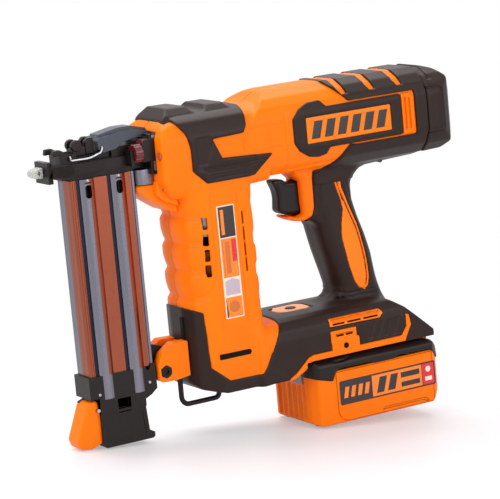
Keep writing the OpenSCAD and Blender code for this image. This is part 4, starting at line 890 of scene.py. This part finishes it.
# release cover: a lid with a raised crown, its pin and the wire bail that hooks over the prongs
lid = [(-128.6, 249.6), (-126.4, 252), (-108, 254.2), (-98, 253.8), (-84.4, 251.4), (-83.4, 248.4),
    (-86, 247.4), (-98, 248), (-106.6, 246), (-113.6, 242), (-124, 240.6), (-127.4, 243)]
crown = [(-127.6, 250), (-125.4, 254), (-109, 257), (-98, 257), (-85.4, 253.6), (-84.6, 249), (-98, 250),
    (-120, 248)]
cover = cut_from("release_cover", [("y", -10, 10, lid), ("y", -6.4, 6.4, crown)], slate_steel, "door_latch",
    ["jam_latch"], 0.8)
pierced(cover, [("y", -7.2, 7.2,
    [(-130, 238), (-130, 248.6), (-124, 250.6), (-108, 252.2), (-98, 252.2), (-90, 250), (-92, 238)])])
cut_from("release_cover_pin", [("y", -7.4, 7.4, round_points(-122, 246, 1.5, 16))], bright_wire,
    "door_latch", bevel=0.2, slot="black_steel")
for sign, hand in ((-1, "near"), (1, "far")):
    bent_wire("release_bail_" + hand, [(-125, sign * 6.8, 245.5), (-125, sign * 11.4, 245.5),
        (-126.5, sign * 11.5, 241.4), (-137, sign * 11.5, 238.4), (-152.3, sign * 11.4, 238.8),
        (-152.3, sign * 11.4, 241.5), (-152.3, sign * 9.4, 241.5)], 0.75, bright_wire, "door_wire",
        ["latch_wire"] if sign < 0 else (), 2.5, "spring_steel")
# jam door's knuckles and the nose's prongs
knuckle = round_points(-143.6, 248.2, 4.4, 20)
cheek = [(-136.6, 241), (-136.6, 250.4), (-134, 253), (-129.8, 253), (-129.8, 241)]
bridge = [(-147.6, 240.4), (-147, 247), (-130, 247), (-130, 240.4)]
cut_from("door_knuckles", twins(2.4, 6.4, knuckle) + twins(1.6, 6.4, cheek) + [("y", -5.4, 5.4, bridge)],
    black_steel, "nose_door", bevel=0.6)
prong = [(-165.4, 243.2), (-164.6, 247.6), (-159.4, 247.8), (-153.6, 244.6), (-148.4, 242.8),
    (-148.4, 240.9), (-160.6, 240.9), (-159.4, 243.6)]
cut_from("foot_prongs", twins(4.6, 8.8, prong), black_steel, bevel=0.6)
# contact arm's foot, and the clear tip that keeps it from marking the work
cut_from("contact_foot_wedge", [
    ("y", -12.3, 9, [(-172.4, 226.6), (-172.4, 237.4), (-170.2, 239.8), (-168.6, 239.8), (-168.6, 224.4)]),
    ("y", -12.3, -9.6, [(-172.4, 228), (-168, 238.4), (-158, 236.6), (-150, 235.8), (-150, 228.4),
        (-160, 227)])],
    black_steel, "nose_contact", bevel=0.6)
tip = cut_from("clear_tip", [("y", -4.8, 4.8, [(-181.4, 230.2), (-181.4, 233.8), (-178.4, 235.4),
    (-172.5, 236.4), (-172.5, 228.4), (-178.4, 228.6)])], milky_plastic, "nose_contact", ["no_mar_tip"],
    0.9, 3)
pierced(tip, [("y", -9, 9, round_points(-175.4, 232.4, 1.3, 20))])
# scale box behind the depth wheel, the flange it sits on, and what closes the shell's front
box = cut_from("depth_scale_box",
    [("y", -20.4, -10.6, [(-96.6, 229.6), (-96.6, 245.4), (-94.8, 247), (-84.6, 247), (-84.6, 229.6)])],
    dial_red, bevel=0.9)
pierced(box, [("x", -100, -80, round_points(-16.5, 237, 3.4, 24))])
recoat(box, black_nylon, lambda m: m.x > -95.4)
cut_from("nose_flange", [("x", -90.4, -87.6, box_points(-19.6, -9.6, 219.6, 250)),
    ("x", -90.4, -87.6, box_points(9.6, 19.6, 219.6, 250)),
    ("x", -90.4, -87.6, box_points(-9.8, 9.8, 246.6, 250))], black_steel, steps=1)
cut_from("front_boss", [("z", 211.6, 223.8, [(-84.6, -15), (-95, -15), (-98.6, -13.6), (-100.4, -10.6),
    (-100.6, -6), (-100.6, 10), (-97, 14), (-84.6, 14)])], bare_aluminium, bevel=0.8, slot="cast_aluminium")
cut_from("front_ledge", [("y", -15, 15,
    [(-72, 211.4), (-100.4, 211.4), (-100.4, 206.8), (-97, 203.6), (-76, 189.2), (-68, 186)]),
    ("y", -19.8, 19.8, [(-72, 214), (-87.4, 214), (-87.4, 202.6), (-82, 197.6), (-70, 192)])], orange_nylon,
    bevel=1.8, steps=3)
for node in ("nosepiece", "jam_door", "contact_arm", "battery_button", "mode_button", "depth_wheel"):
    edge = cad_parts[node].modifiers.new("soft edge", "BEVEL")
    edge.width, edge.segments, edge.limit_method = 0.35 * MM, 2, "ANGLE"

# ---------------- camera, light and floor

target = Vector((-0.0013, 0, 0.1448))   # what the camera looks at
distance = 2.02                         # from there to the lens
turn, tip, lean = math.radians(29.6), math.radians(10.3), math.radians(5.35)
back = Vector((-math.sin(turn) * math.cos(tip), -math.cos(turn) * math.cos(tip), math.sin(tip)))
right = (-back).cross(Vector((0, 0, 1))).normalized()
down = (-back).cross(right)
level_right = right * math.cos(lean) + down * math.sin(lean)
level_down = down * math.cos(lean) - right * math.sin(lean)
camera_data = bpy.data.cameras.new("camera")
camera_data.sensor_width, camera_data.lens = 36, 187.2      # mm; a long lens, so little perspective
camera_data.clip_start, camera_data.clip_end = 0.05, 20
camera = bpy.data.objects.new("camera", camera_data)
scene.collection.objects.link(camera)
aimed = Matrix((level_right, -level_down, back)).transposed().to_4x4()
camera.matrix_world = Matrix.Translation(target + back * distance) @ aimed
scene.camera = camera


def seen_ray(tree):
    """One for rays that reach the eye straight, off a gloss or through a clear piece, else zero."""
    path = add(tree, "LightPath")
    glass = add(tree, "Math", {"operation": "MAXIMUM"}, i0=path.outputs["Is Camera Ray"],
        i1=path.outputs["Is Transmission Ray"])
    gloss = add(tree, "Math", {"operation": "MAXIMUM"}, i0=glass.outputs[0], i1=path.outputs["Is Glossy Ray"])
    return gloss.outputs[0]


def soft_light(name, place, size, power, aim=(0, 0, 0.15)):
    """A large lamp, aimed at the tool."""
    lamp = bpy.data.lights.new(name, "AREA")
    lamp.shape, lamp.size, lamp.size_y = "RECTANGLE", size[0], size[1]
    lamp.energy = power
    holder = bpy.data.objects.new(name, lamp)
    scene.collection.objects.link(holder)
    holder.location = place
    holder.rotation_euler = (Vector(aim) - Vector(place)).to_track_quat("-Z", "Y").to_euler()


soft_light("top_softbox", (0.1, 0.5, 1.5), (1.6, 1.0), 26)
soft_light("front_softbox", (-1.3, -0.5, 0.9), (0.9, 1.2), 13, (-0.05, 0, 0.15))
soft_light("side_softbox", (0.5, -1.7, 0.7), (1.3, 1.1), 15, (0.02, 0, 0.15))

world = bpy.data.worlds.new("pale_room")
scene.world = world
world.use_nodes = True
tree = world.node_tree
tree.nodes.clear()
room = add(tree, "Background", {"Color": linear("#F4F2F3"), "Strength": 0.42})
seen = add(tree, "Background", {"Color": (1, 1, 1, 1), "Strength": 1.0})
pick = add(tree, "MixShader", (), i0=seen_ray(tree), i1=room.outputs[0], i2=seen.outputs[0])
add(tree, "OutputWorld", (), Surface=pick.outputs[0])

# the tool leans on the magazine's foot and the battery's front edge, so the floor slopes in its frame
slope, foot_x, gap = 0.1006, 0.024, 0.0004     # fall per metre, where it meets z = 0, and its clearance
floor_mesh = bpy.data.meshes.new("floor")
reach = 4.0
corners = [(-reach, -reach), (reach, -reach), (reach, reach), (-reach, reach)]
floor_mesh.from_pydata([(x, y, slope * (foot_x - x) - gap) for x, y in corners], [], [(0, 1, 2, 3)])
floor = bpy.data.objects.new("floor", floor_mesh)
scene.collection.objects.link(floor)
pale = bpy.data.materials.new("pale_paper_floor")
pale.use_nodes = True
tree = pale.node_tree
shader = tree.nodes["Principled BSDF"]
shader.inputs["Base Color"].default_value = linear("#F1ECF0")
shader.inputs["Roughness"].default_value = 0.45
fade = add(tree, "Emission", {"Color": (1, 1, 1, 1), "Strength": 1.0})
spot = add(tree, "TexCoord").outputs["Object"]
away = add(tree, "VectorMath", {"operation": "DISTANCE"}, i0=spot)
away.inputs[1].default_value = (-0.01, -0.02, 0.0)
near = add(tree, "MapRange", {"From Min": 0.16, "From Max": 0.42, "To Min": 0.35, "To Max": 1.0},
    Value=away.outputs["Value"])
white = add(tree, "Math", {"operation": "MULTIPLY"}, i0=near.outputs[0], i1=seen_ray(tree))
mixed = add(tree, "MixShader", (), i0=white.outputs[0], i1=shader.outputs[0], i2=fade.outputs[0])
tree.links.new(mixed.outputs[0], tree.nodes["Material Output"].inputs["Surface"])
floor_mesh.materials.append(pale)
